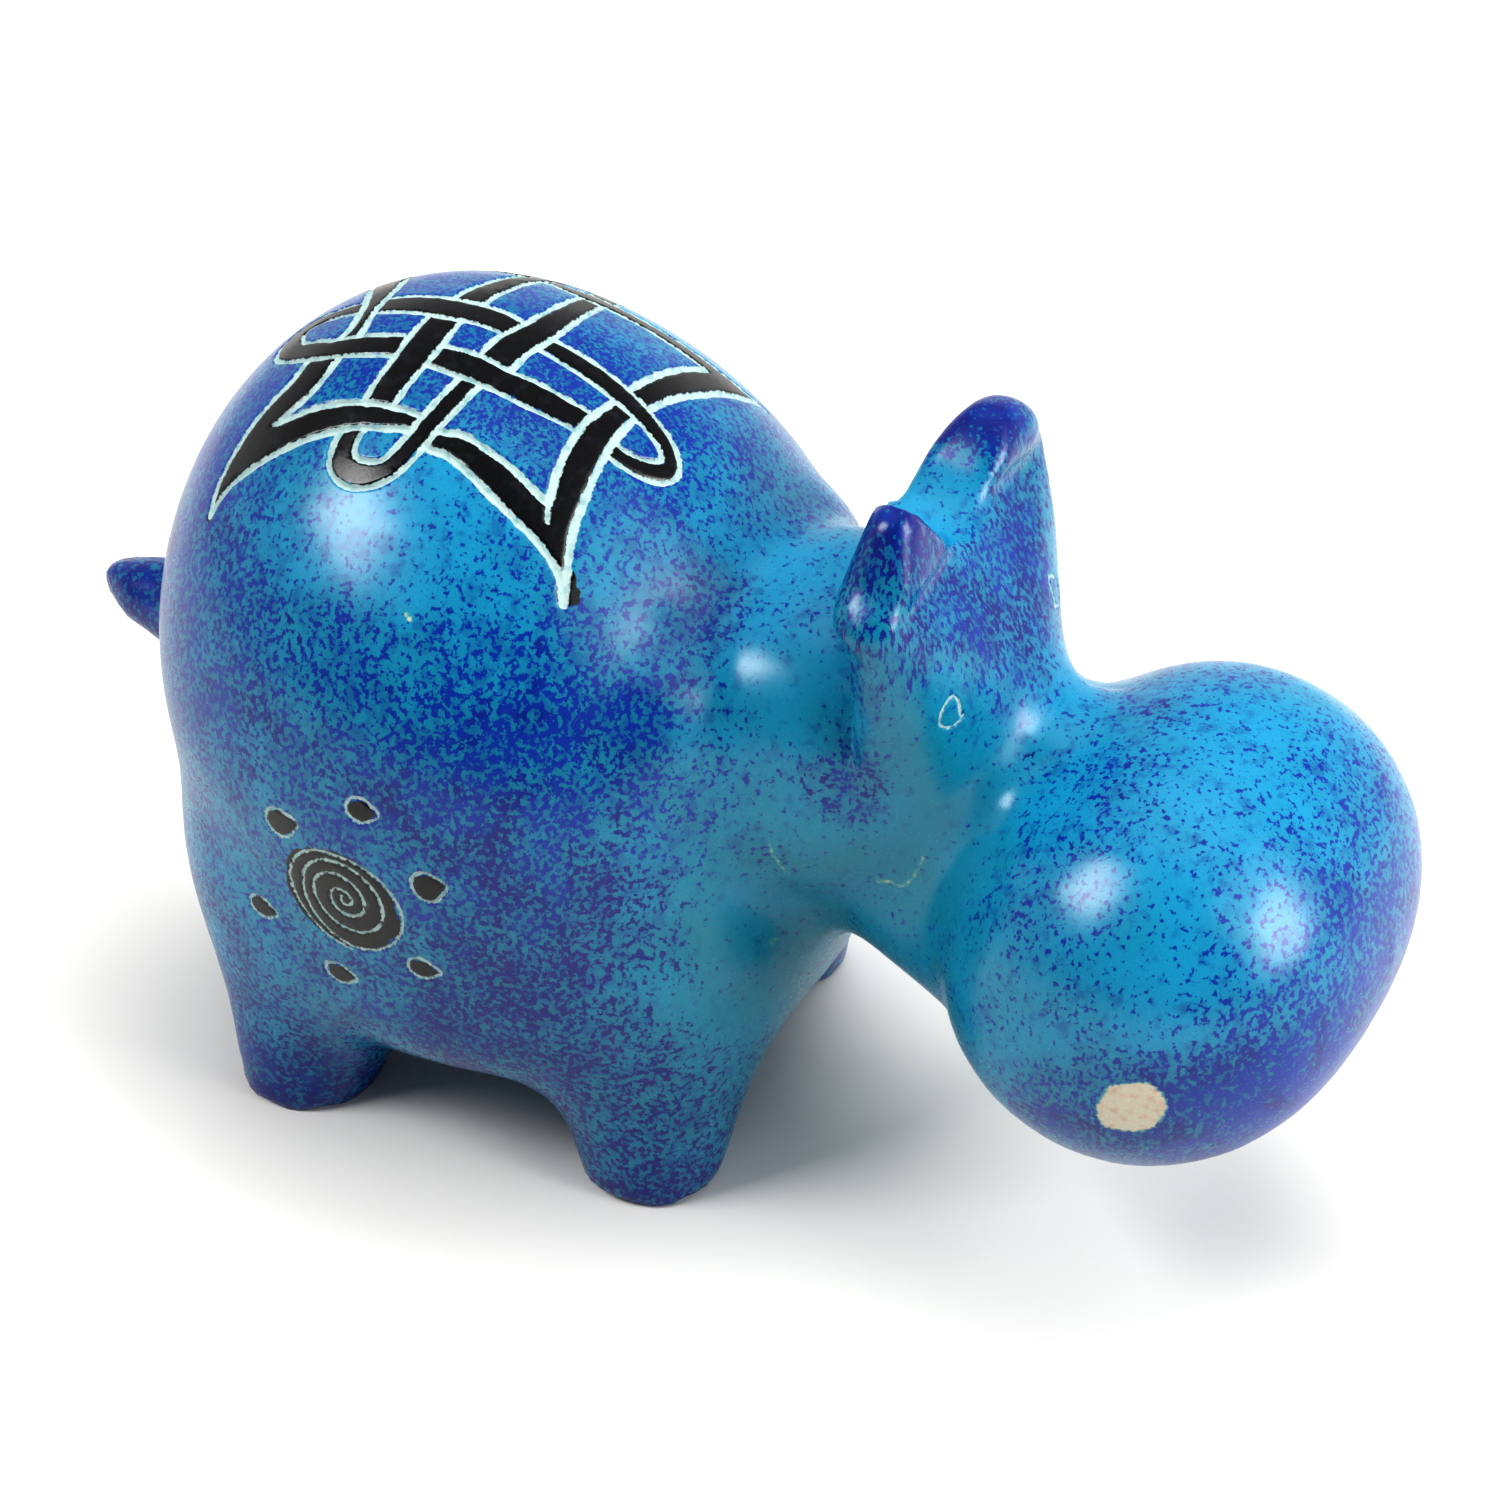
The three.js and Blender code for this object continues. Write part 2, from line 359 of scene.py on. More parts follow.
@dataclass
class KnotOnBack:
    """Three plaited bands over the back, black between two scratched edge lines.

    A long ring and a cross ring are woven with a four-pointed ring.
    """

    line_width: float = 0.54
    star_line_width: float = 0.68
    line_depth: float = 0.3
    star_front: tuple = (
        (-23.5, -21.15), (-20.3, -20.6), (-16.5, -19.9), (-12.6, -19.6), (-8.8, -19.3),
        (-4.9, -19.15), (-0.3, -19.3), (2, -19.6), (6.6, -20.2), (10.5, -20.85),
        (14.3, -21.15), (18.2, -21.5), (22.4, -21.6), (24.5, -22),
    )  # fmt: skip
    star_left: tuple = (
        (24.5, -22), (21.9, -20.6), (19.8, -18.2), (18.3, -15.6), (17.1, -13.3),
        (15.9, -10.8), (15.1, -8.5), (14.9, -6.9), (14.3, -5), (14.6, -2.7), (15.1, -0.4),
        (15.9, 1.5), (17.1, 3.85), (18.6, 6.35), (20.3, 8.85), (22, 11), (24, 13),
    )  # fmt: skip
    star_rear: tuple = (
        (24, 13), (20, 13.3), (16, 12.8), (12.5, 12.1), (9, 11.2), (5.5, 9.7), (3.5, 8.65),
        (1.2, 7.5), (-1.5, 6.5), (-5, 6.2), (-8, 8.15), (-10.7, 8.85), (-12.6, 9.9),
        (-14.9, 11.15), (-17.6, 12.1), (-20.3, 12.9), (-22.6, 13.15), (-24.6, 12.9),
    )  # fmt: skip
    star_right: tuple = (
        (-24.6, 12.9), (-23, 12.1), (-21.5, 11), (-19.7, 8.85), (-18, 6.35), (-16.5, 3.85),
        (-15.3, 1.5), (-14.5, -0.4), (-14, -2.7), (-13.5, -5), (-14.5, -6.9), (-14.5, -8.5),
        (-15.3, -10.8), (-16.5, -13.3), (-17.6, -15.6), (-18.8, -17.9), (-20.7, -20),
        (-23.5, -21.15),
    )  # fmt: skip
    cell_right: tuple = (
        (-15.1, 7.8), (-14.5, 6.5), (-13.6, 4.8), (-12.8, 2.7), (-12.2, 0.4), (-11.9, -1.9),
        (-11.9, -4.8), (-12.6, -7.3), (-12.2, -8.85), (-12.6, -11.15), (-13.2, -13.5),
        (-14, -15.4), (-14.9, -17.3),
    )  # fmt: skip
    cell_front: tuple = (
        (-14.9, -17.3), (-13.4, -17.1), (-11.1, -16.7), (-8, -16.5), (-4.9, -16.5),
        (-1.1, -17.1), (2.8, -17.4), (6.6, -17.7), (10.5, -18), (16.4, -18.5),
    )  # fmt: skip
    cell_left: tuple = (
        (16.4, -18.5), (15.5, -16.5), (14.3, -13.8), (13, -10.4), (12, -7.7), (12.1, -4.8),
        (12.3, -1.9), (12.7, 0.4), (13.3, 2.7), (14.1, 4.8), (15.5, 8),
    )  # fmt: skip
    cell_rear: tuple = (
        (15.5, 8), (12, 7.6), (9, 7.2), (6.6, 6.7), (3.9, 5.8), (1.2, 5.4), (-1.5, 5.1),
        (-4.9, 4.5), (-8, 4.9), (-10.7, 5.3), (-12.6, 6), (-15.1, 7.8),
    )  # fmt: skip
    long_outer: tuple = (
        (-3.4, 15), (-4.9, 14.6), (-6.5, 13.5), (-7.4, 11.7), (-7.8, 9.6), (-7.9, 7.3),
        (-7.7, 5), (-7.4, 2.7), (-7, 0.2), (-7, -3.1), (-7.1, -5), (-7, -6.9), (-7, -9.2),
        (-7, -11.9), (-6.7, -14.6), (-6.5, -16.9), (-6.9, -19.2), (-7, -20.8), (-6.5, -22.7),
        (-5.3, -24), (-3.4, -24.6), (-1.5, -24.15), (0.3, -22.7), (1.2, -20.8), (1.8, -18.5),
        (2.1, -15.8), (2.1, -13.1), (1.8, -10), (1.9, -7.7), (2.3, -5.4), (2.2, -3.1),
        (2, -0.8), (1.8, 1.5), (1.4, 3.85), (0.65, 8.1), (0.5, 10.4), (0.4, 12.3),
        (-0.5, 14), (-1.85, 14.8),
    )  # fmt: skip
    long_inner: tuple = (
        (-3, 12.1), (-4.9, 10.8), (-5.3, 8.5), (-5.5, 6.5), (-5, 4.2), (-4.65, 1.9),
        (-4.4, 0), (-4.5, -3.1), (-4.15, -6.15), (-4.3, -9.2), (-4, -11.9), (-3.85, -14.6),
        (-3.8, -16.7), (-4.9, -19.2), (-5, -20.4), (-4.5, -21.7), (-3.4, -22.7),
        (-2.4, -22.7), (-1.5, -21.7), (-0.9, -20), (-0.6, -17.7), (-0.4, -14.6),
        (-0.4, -11.9), (-0.4, -10), (-0.6, -6.5), (-0.7, -3.85), (-1.1, -1.5), (-1.2, 0.8),
        (-1.4, 3.1), (-1.5, 4.8), (-1.5, 6.9), (-1.5, 8.85), (-1.65, 10.8), (-2.2, 11.7),
    )  # fmt: skip
    cross_outer: tuple = (
        (-15.1, 0.8), (-16.8, 0.85), (-18.4, 0.4), (-19.35, -0.8), (-19.6, -2.3), (-19, -4),
        (-17.6, -5.4), (-15.3, -6.35), (-12.6, -6.9), (-9.9, -7.5), (-7.2, -8), (-4.5, -9.2),
        (-1.85, -9.4), (0.5, -9.8), (2.8, -10), (6.6, -9.9), (10.5, -9.6), (12, -9.4),
        (14.5, -9.3), (17, -8.9), (18.8, -7.6), (19.3, -6), (18.8, -4.2), (17.3, -2.8),
        (15, -2), (12.5, -1.7), (10.5, -1.5), (6.6, -1.1), (2.8, -0.6), (-1.1, -0.2),
        (-4.9, -0.1), (-7.2, -0.1), (-9.9, 0.1), (-12, 0.2),
    )  # fmt: skip
    cross_inner: tuple = (
        (-14.7, -1.15), (-16.1, -1.1), (-17, -1.6), (-17.1, -2.7), (-16.65, -3.8),
        (-15.3, -4.4), (-13.6, -4.9), (-11.85, -5.2), (-9.5, -5.7), (-7.2, -6.1),
        (-4, -6.35), (-1.5, -6.5), (0.5, -7), (2.8, -7.4), (6.6, -7.6), (10.5, -7.5),
        (11.8, -7.4), (14.5, -7.1), (16.3, -6.3), (16.6, -5.3), (15.8, -4.3), (14, -3.8),
        (10.5, -3.5), (6.6, -3.4), (2.8, -3.2), (-1.5, -3), (-4.15, -3.15), (-6.85, -3),
        (-9.5, -2.7), (-11.65, -2.4),
    )  # fmt: skip
    crossings: tuple = (
        (-6.3, 6.0, "long", "star"), (-5.8, -1.5, "cross", "long"),
        (-5.8, -7.1, "long", "cross"), (-5.6, -18.0, "star", "long"),
        (0.6, -18.3, "long", "star"), (0.8, -8.5, "cross", "long"),
        (0.6, -1.7, "long", "cross"), (-0.4, 5.8, "star", "long"),
        (-12.9, -1.3, "star", "cross"), (12.9, -2.7, "cross", "star"),
        (12.4, -8.4, "star", "cross"), (-12.9, -6.2, "cross", "star"),
    )  # fmt: skip
    slips: tuple = (
        ((-14.9, -17.3), (-16.5, -17.8)),
        ((-15.1, 7.8), (-15.2, 8.3)),
    )
    blots: tuple = (
        (
            (-19.9, -20.9), (-20.6, -21.6), (-21.7, -22.0), (-22.8, -22.2), (-23.2, -21.75),
            (-23.6, -21.3), (-23.3, -20.8), (-22.6, -20.2), (-22.0, -20.1), (-20.5, -20.3),
        ),
        (
            (-24.2, 12.4), (-24.7, 12.2), (-25.3, 12.7), (-25.2, 13.5), (-24.6, 13.7),
            (-24.0, 13.3),
        ),
    )  # fmt: skip

    def bands(self) -> dict[str, Area]:
        """Lay out the three bands."""
        star = np.vstack(
            [
                flowing(side)
                for side in (self.star_front, self.star_left, self.star_rear, self.star_right)
            ]
        )
        cell = np.vstack(
            [
                flowing(side)
                for side in (self.cell_right, self.cell_front, self.cell_left, self.cell_rear)
            ]
        )
        return {
            "star": Area(star, (cell,)),
            "long": Area(flowing(self.long_outer, True), (flowing(self.long_inner, True),)),
            "cross": Area(
                flowing(self.cross_outer, True), (flowing(self.cross_inner, True),)
            ),
        }

    def seen(self, name: str, path: np.ndarray, bands: dict[str, Area]) -> np.ndarray:
        """Tell which points of a band's edge aren't under another band.

        Args:
            name: The band.
            path: One edge line of it.
            bands: All the bands.

        Returns:
            True for each point of the edge that shows.
        """
        places = np.array([c[:2] for c in self.crossings])
        _, which = nearest(path, places)
        shows = np.ones(len(path), bool)
        for other, area in bands.items():
            if other == name:
                continue
            under = np.array([c[2:] == (other, name) for c in self.crossings])[which]
            shows &= ~(area.covers(path) & under)
        return shows

    def draw(self) -> Drawing:
        """Draw the bands, with each edge line broken where its band passes under another."""
        bands = self.bands()
        strokes = [
            Stroke(flowing(list(slip)), self.line_width * 0.8, self.line_depth)
            for slip in self.slips
        ]
        for name, area in bands.items():
            for path in (area.edge, *area.holes):
                shows = self.seen(name, path, bands)
                ends = np.flatnonzero(np.diff(shows.astype(int))) + 1
                width = self.star_line_width if name == "star" else self.line_width
                for run, kept in zip(np.split(path, ends), np.split(shows, ends)):
                    if kept[0] and len(run) > 3:
                        strokes.append(Stroke(run, width, self.line_depth))
        blots = [Area(flowing(list(blot), True)) for blot in self.blots]
        return Drawing(BackChart(), strokes, [*bands.values(), *blots])


@dataclass
class SpiralOnFlank:
    """A black disc with a scratched spiral, and six black drops with scratched outlines."""

    side: Side
    line_width: float = 0.3
    line_depth: float = 0.22
    disc: tuple = (-20.7, 32.8, 6.2, 5.8)
    middle: tuple = (-20.2, 33.1)
    quarter_radii: tuple = (
        6.15, 6.04, 4.8, 5.9, 5.65, 4.5, 4.1, 3.96, 3.65, 3.35, 2.6, 2.1, 1.85, 1.5, 0.96,
        0.8, 0.6, 0.4, 0.3,
    )  # fmt: skip
    drops: tuple = (
        (-18.0, 43.7, 1.35, 1.2, 0.0),
        (-26.7, 38.9, 1.65, 1.45, 25.0),
        (-11.85, 37.3, 1.35, 1.55, 15.0),
        (-13.1, 27.4, 1.3, 1.2, 0.0),
        (-22.2, 23.0, 1.45, 1.2, 5.0),
        (-30.5, 26.85, 1.35, 1.1, 0.0),
    )
    tip: float = 0.4
    tip_spread: float = 0.42

    def spiral(self) -> np.ndarray:
        """Run the spiral in from its outer end below the middle, by way of the rear."""
        quarters = np.arange(len(self.quarter_radii))
        turns = np.linspace(0, quarters[-1], 12 * len(quarters))
        radii = np.interp(turns, quarters, self.quarter_radii)
        angles = -math.pi / 2 * (1 + turns)
        return flowing(
            [
                (self.middle[0] + r * math.cos(a), self.middle[1] + r * math.sin(a))
                for r, a in zip(radii, angles)
            ]
        )

    def drop(self, u: float, v: float, long: float, high: float, lean: float) -> np.ndarray:
        """Outline one drop.

        Args:
            u: Its middle, forwards.
            v: Its middle, upwards.
            long: Half its length without the tip.
            high: Half its height.
            lean: How far the tip is turned upwards, in degrees.

        Returns:
            The outline.
        """
        turn = math.radians(lean)
        points = []
        for angle in np.linspace(-math.pi, math.pi, 28, endpoint=False):
            stretch = 1 + self.tip * math.exp(-((angle / self.tip_spread) ** 2))
            x, y = long * math.cos(angle) * stretch, high * math.sin(angle) * stretch
            points.append(
                (
                    u + x * math.cos(turn) - y * math.sin(turn),
                    v + x * math.sin(turn) + y * math.cos(turn),
                )
            )
        return flowing(points, True)

    def draw(self) -> Drawing:
        """Draw the disc, the spiral and the drops."""
        u, v, long, high = self.disc
        ring = flowing(
            [
                (u + long * math.cos(a), v + high * math.sin(a))
                for a in np.linspace(0, 2 * math.pi, 32, endpoint=False)
            ],
            True,
        )
        outlines = [self.drop(*drop) for drop in self.drops]
        strokes = [Stroke(self.spiral(), self.line_width, self.line_depth)]
        strokes += [Stroke(line, self.line_width, self.line_depth) for line in outlines]
        return Drawing(SideChart(self.side), strokes, [Area(ring)] + [Area(o) for o in outlines])


@dataclass
class FaceMarks:
    """A small scratched eye, and a patch at the mouth scraped bare as a tusk."""

    side: Side
    line_width: float = 0.25
    line_depth: float = 0.16
    eye: tuple = (
        (12.27, 57.3), (11.77, 56.5), (11.64, 55.3), (11.2, 55.0), (12.24, 54.5),
        (13.09, 54.5), (13.72, 55.1), (13.58, 56.3), (12.86, 57.2),
    )  # fmt: skip
    left_eye_shift: tuple = (-3.7, 1.0)
    tusk: tuple = (
        (48.9, 32.7), (51.4, 33.5), (52.8, 32.5), (53.2, 30.6), (52.6, 28.9), (51.2, 27.5),
        (48.7, 27.2), (47.9, 27.7), (47.6, 29.75), (48.25, 31.6),
    )  # fmt: skip

    def draw(self) -> list[Drawing]:
        """Draw the eye and the tusk."""
        aside, higher = self.left_eye_shift if self.side is Side.LEFT else (0, 0)
        outline = [(self.side.value * (u + aside), v + higher) for u, v in self.eye]
        eye = Stroke(flowing(outline, True), self.line_width, self.line_depth)
        tusk = Area(flowing(list(self.tusk), True))
        return [Drawing(HeadChart(), [eye]), Drawing(SideChart(self.side), [], [], [tusk])]


@dataclass
class Wear:
    """Small chips and rubbed places on the right side, where bare stone shows."""

    chips: tuple = (
        (((25.9, 40.3), (25.6, 39.2), (25.1, 37.9), (24.4, 36.7)), 0.05),
        (((24.4, 36.7), (23.7, 36.2), (22.8, 36.4), (21.9, 36.3)), 0.16),
        (((12.9, 39.8), (13.2, 38.9), (13.5, 38.0), (13.9, 36.9), (14.4, 36.1)), 0.06),
        (((-16.6, 60.1), (-16.3, 59.9)), 0.22),
        (((12.7, 27.8), (12.8, 27.5)), 0.1),
    )

    def draw(self) -> Drawing:
        """Draw the chips."""
        scuffs = [Stroke(flowing(list(path)), width) for path, width in self.chips]
        return Drawing(SideChart(Side.RIGHT), scuffs=scuffs)


class Dabs(Enum):
    """How closely the indigo dabs stand, as judged. The value is their share."""

    BARE = 0.0
    FEW = 0.2
    EVEN = 0.45
    MANY = 0.65
    CROWDED = 0.85


@dataclass(frozen=True)
class Region:
    """One region of the body, how it was dyed, and how much teal stands in for its shade.

    The place of its middle and its radius are in millimetres. The shares of teal, violet and
    brushwork are judged in quarters.
    """

    place: tuple[float, float, float]
    radius: float
    dabs: Dabs
    # teal share: partly the ground's own teal, partly painted shade on lower and side faces
    teal_and_shade: float = 0.0
    violet: float = 0.0
    brushed: float = 0.0

    def shares(self) -> tuple[float, float, float, float]:
        """Give the shares of indigo, teal (partly painted shade), violet and brushwork."""
        return self.dabs.value, self.teal_and_shade, self.violet, self.brushed


@dataclass
class DyeMap:
    """How the dyes took from region to region, with the teal partly as painted shade. Both sides
    of the body are dyed alike.
    """

    elsewhere: tuple = (0.45, 0.25, 0.25, 0.0)
    elsewhere_weight: float = 0.02
    # The teal shares are highest on the breast, cheeks, belly, legs and underside, which are lower
    # and side faces. There they are partly painted shade.
    tail: Region = Region((0, 60, 35), 5, Dabs.CROWDED, violet=0.5)
    rump: Region = Region((-20, 45, 50), 9, Dabs.MANY, violet=0.25)
    rump_under_knot: Region = Region((-20, 20, 66), 7, Dabs.FEW)
    buttock: Region = Region((-22, 42, 25), 9, Dabs.EVEN, teal_and_shade=0.25, violet=0.25)
    rear: Region = Region((0, 50, 28), 9, Dabs.EVEN, teal_and_shade=0.25, violet=0.5)
    upper_flank: Region = Region((-27, 18, 56), 5, Dabs.EVEN)
    flank: Region = Region((-28, 8, 47), 8, Dabs.MANY, teal_and_shade=0.25, violet=0.25)
    round_spiral: Region = Region((-30, 26, 36), 9, Dabs.EVEN, teal_and_shade=0.25, violet=0.25)
    lower_flank: Region = Region((-27, 0, 30), 6, Dabs.MANY, teal_and_shade=0.5, violet=0.75)
    belly_edge: Region = Region((-26, 8, 18), 7, Dabs.MANY, teal_and_shade=0.5, violet=0.75)
    hind_leg: Region = Region((-25, 30, 16), 7, Dabs.EVEN, teal_and_shade=0.25, violet=0.5)
    hind_foot: Region = Region((-22, 32, 3), 5, Dabs.CROWDED, teal_and_shade=0.25, violet=0.5)
    front_leg: Region = Region((-22, -5, 15), 5, Dabs.EVEN, teal_and_shade=0.5, violet=0.75)
    front_foot: Region = Region((-20, -4, 2), 4, Dabs.MANY, teal_and_shade=0.25, violet=0.75)
    underside: Region = Region((0, 15, 10), 14, Dabs.EVEN, teal_and_shade=0.5, violet=0.5)
    breast: Region = Region((-18, -12, 28), 6, Dabs.BARE, teal_and_shade=0.75, violet=0.5)
    middle_of_breast: Region = Region((0, -14, 24), 8, Dabs.FEW, teal_and_shade=0.75, violet=0.5)
    shoulder_front: Region = Region((-14, -12, 40), 5, Dabs.FEW, teal_and_shade=0.75, violet=0.25)
    shoulder_side: Region = Region((-19, -5, 44), 5, Dabs.EVEN, teal_and_shade=0.5, violet=0.25)
    shoulder_top: Region = Region((-10, 0, 60), 5, Dabs.EVEN)
    nape: Region = Region((0, -7, 57), 5, Dabs.FEW)
    back: Region = Region((0, 22, 73), 13, Dabs.MANY, brushed=1.0)
    neck: Region = Region((-11, -14, 50), 4, Dabs.FEW, teal_and_shade=0.25, brushed=0.5)
    patch_behind_jaw: Region = Region((-14, -20, 47), 2.5, Dabs.CROWDED, teal_and_shade=0.5, violet=1.0)
    cheek: Region = Region((-12, -27, 44), 5, Dabs.BARE, teal_and_shade=0.75)
    throat: Region = Region((-16, -32, 33), 6, Dabs.FEW, teal_and_shade=0.5)
    ear_tip: Region = Region((-10, -20, 73), 3, Dabs.CROWDED, violet=0.5, brushed=0.5)
    ear_side: Region = Region((-16, -23, 66), 4, Dabs.EVEN, teal_and_shade=0.5, violet=0.5, brushed=1.0)
    saddle: Region = Region((0, -20, 67), 3, Dabs.BARE)
    forehead: Region = Region((0, -27, 61), 6, Dabs.MANY, violet=0.5, brushed=1.0)
    temple: Region = Region((-12, -28, 56), 3, Dabs.FEW, teal_and_shade=0.5, brushed=0.5)
    under_eye: Region = Region((-11, -29, 50), 3.5, Dabs.FEW, teal_and_shade=0.5)
    bridge: Region = Region((-4, -35, 49), 4, Dabs.FEW)
    muzzle_root: Region = Region((-9, -42, 51), 5, Dabs.EVEN, violet=0.25)
    muzzle_top: Region = Region((-7, -50, 52), 5, Dabs.FEW)
    muzzle_side: Region = Region((-17, -50, 45), 6, Dabs.FEW)
    muzzle_rear: Region = Region((-17, -41, 44), 4, Dabs.EVEN)
    muzzle_front: Region = Region((-8, -60, 44), 6, Dabs.EVEN)
    upper_lip: Region = Region((0, -64, 38), 6, Dabs.MANY, violet=0.25)
    lower_lip: Region = Region((-12, -62, 29), 7, Dabs.CROWDED, violet=0.25)
    jaw: Region = Region((-21, -48, 25), 6, Dabs.MANY, teal_and_shade=0.25, violet=0.25, brushed=0.5)
    corner_of_mouth: Region = Region((-22, -38, 36), 4, Dabs.FEW, teal_and_shade=0.25)
    chin: Region = Region((0, -40, 16), 8, Dabs.EVEN, teal_and_shade=0.5, violet=0.5)

    def regions(self) -> list[Region]:
        """List the regions."""
        return [value for value in vars(self).values() if isinstance(value, Region)]

    def shares(self, points: np.ndarray) -> np.ndarray:
        """Blend the regions.

        Args:
            points: Points on the body in millimetres.

        Returns:
            The shares of indigo, teal, violet and brushed dye at each point; the teal share is
            partly painted shade.
        """
        weights = np.full(len(points), self.elsewhere_weight)
        total = weights[:, None] * np.array(self.elsewhere)
        for region in self.regions():
            for sign in (1, -1) if region.place[0] else (1,):
                away = ((points - np.array(region.place) * (sign, 1, 1)) ** 2).sum(1)
                share = np.exp(-away / (2 * region.radius**2))
                weights += share
                total += np.outer(share, region.shares())
        return total / weights[:, None]


@dataclass(frozen=True)
class Cut:
    """One flat saw or knife cut: a point on it in millimetres, and the way it faces."""

    point: tuple[float, float, float]
    facing: tuple[float, float, float]


def join(first: np.ndarray, second: np.ndarray, fillet: float | np.ndarray) -> np.ndarray:
    """Join two forms, each given as distances, and fill the corner between them.

    Args:
        first: Each point's distance to the first form.
        second: Each point's distance to the second form.
        fillet: How far from the corner the filling starts, in millimetres.

    Returns:
        Each point's distance to the joined form.
    """
    share = np.clip(0.5 + (second - first) / (2 * fillet), 0, 1)
    return second + (first - second) * share - fillet * share * (1 - share)


@dataclass(frozen=True)
class Swell:
    """One swelling mass: its centre, and its reach to the sides, forwards, back and up in mm.

    The squareness across and along is 2 for an oval section, more for a squarer one.
    """

    centre: tuple[float, float, float]
    side: float
    front: float
    back: float
    rise: float
    across: float
    along: float
    fillet: float

    def fill(self, points: np.ndarray) -> np.ndarray:
        """Push the points inside the mass out to its surface, with a fillet where it starts.

        Args:
            points: Points on the body in millimetres.

        Returns:
            Where the points go.
        """
        away = points - np.array(self.centre)
        x, y, z = np.abs(away).T
        section = (x / self.side) ** self.across + (z / self.rise) ** self.across
        length = y / np.where(away[:, 1] < 0, self.front, self.back)
        reach = (section ** (self.along / self.across) + length**self.along) ** (1 / self.along)
        far = np.linalg.norm(away, axis=1)
        push = -join(np.zeros(len(points)), far * (1 - 1 / reach), self.fillet)
        return points + away * (push / far)[:, None]


@dataclass
class EarCarving:
    """The crown of the head at full sharpness: the plate, the two ears and the saddle.

    The right ear stands taller, with its inner side cut steeply. The left ear is a rounder
    hump that runs down gently to the saddle. Each ear's cuts are given for the left side.
    """

    plate: tuple = (
        Cut((0, -24, 66.5), (0, -0.874, 0.486)),
        Cut((11.4, -28, 55), (0.5, -0.87, -0.02)),
        Cut((15.8, -20, 57), (1, -0.1, -0.28)),
        Cut((0, -17, 56), (0.15, 1, 0)),
        Cut((10, -21, 68.6), (0.35, 0, 1)),
        Cut((0, -21, 34), (0, 0.3, -1)),
    )
    left_ear: tuple = (
        Cut((10, -24.9, 67), (0, -1, 0.22)),
        Cut((10, -17.5, 67), (0.15, 1, 0.15)),
        Cut((17.4, -21, 67), (1, -0.1, 0.45)),
        Cut((10, -21.5, 72.7), (0, 0, 1)),
        Cut((10, -23, 65.8), (-0.12, -0.3, -1)),
    )
    right_ear: tuple = (
        Cut((10, -24.9, 67), (0, -1, 0.25)),
        Cut((10, -17.6, 67), (0.15, 1, 0.3)),
        Cut((15.2, -21, 67), (1, -0.1, 0.42)),
        Cut((9, -21.5, 74.8), (0.05, 0.1, 1)),
        Cut((10, -23, 65.7), (-0.12, -0.3, -1)),
    )
    saddle: tuple = (
        Cut((0, -23, 66.2), (0, 0.16, -1)),
        Cut((1.4, -23, 66), (1, 0, -1.15)),
        Cut((-4.1, -23, 66.4), (-1, 0, -0.82)),
    )
    plate_edge: float = 3.0
    left_ear_edge: float = 4.0
    right_ear_edge: float = 2.6
    crease: float = 0.8
    outer_fillet: float = 1.3
    fillet_start: float = 12.5
    fillet_run: float = 3.5
    saddle_edge: float = 2.4
    right_lip: float = 0.7
    left_lip: float = 1.6
    full_height: float = 64.5
    fade: float = 3.0
    rear: float = -16.0
    steps: int = 4
    probe: float = 0.02
    most: float = 2.4

    def hewn(self, points: np.ndarray, cuts: tuple, edge: float) -> np.ndarray:
        """Give the depth behind a block's cuts, below zero inside, with rounded edges."""
        form = None
        for cut in cuts:
            facing = np.array(cut.facing) / np.linalg.norm(cut.facing)
            depth = (points - np.array(cut.point)) @ facing
            form = depth if form is None else -join(-form, -depth, edge)
        return form

    def form(self, points: np.ndarray) -> np.ndarray:
        """Give each point's distance to the crown's surface, below zero inside."""
        folded = points.copy()
        folded[:, 0] = np.abs(folded[:, 0])
        ears = np.where(
            points[:, 0] < 0,
            self.hewn(folded, self.right_ear, self.right_ear_edge),
            self.hewn(folded, self.left_ear, self.left_ear_edge),
        )
        outwards = np.clip((folded[:, 0] - self.fillet_start) / self.fillet_run, 0, 1)
        fillet = self.crease + self.outer_fillet * outwards
        block = join(self.hewn(folded, self.plate, self.plate_edge), ears, fillet)
        trough = self.hewn(points, self.saddle, self.saddle_edge)
        leftwards = np.clip((points[:, 0] + 3) / 5, 0, 1)
        lip = self.right_lip + (self.left_lip - self.right_lip) * leftwards
        return -join(-block, trough, lip)

    def share(self, points: np.ndarray) -> np.ndarray:
        """Tell how far each point belongs to the crown, from 0 to 1."""
        rise = np.clip((points[:, 2] - self.full_height) / self.fade + 1, 0, 1)
        front = np.clip((self.rear + self.fade - points[:, 1]) / self.fade, 0, 1)
        return rise * front

    def settle(self, points: np.ndarray) -> np.ndarray:
        """Draw the crown's points onto its sharp surface.

        Args:
            points: Points on the body in millimetres.

        Returns:
            Where the points go.
        """
        share = self.share(points)
        rows = np.flatnonzero(share > 0)
        moved = points[rows].copy()
        for _ in range(self.steps):
            gap = self.form(moved)
            slope = np.stack(
                [
                    (self.form(moved + step) - self.form(moved - step)) / (2 * self.probe)
                    for step in np.eye(3) * self.probe
                ],
                1,
            )
            moved -= slope * (gap / np.maximum((slope**2).sum(1), 0.2))[:, None]
        shift = moved - points[rows]
        length = np.linalg.norm(shift, axis=1)
        shift *= np.minimum(1, self.most / np.maximum(length, 1e-6))[:, None]
        settled = points.copy()
        settled[rows] += shift * share[rows][:, None]
        return settled


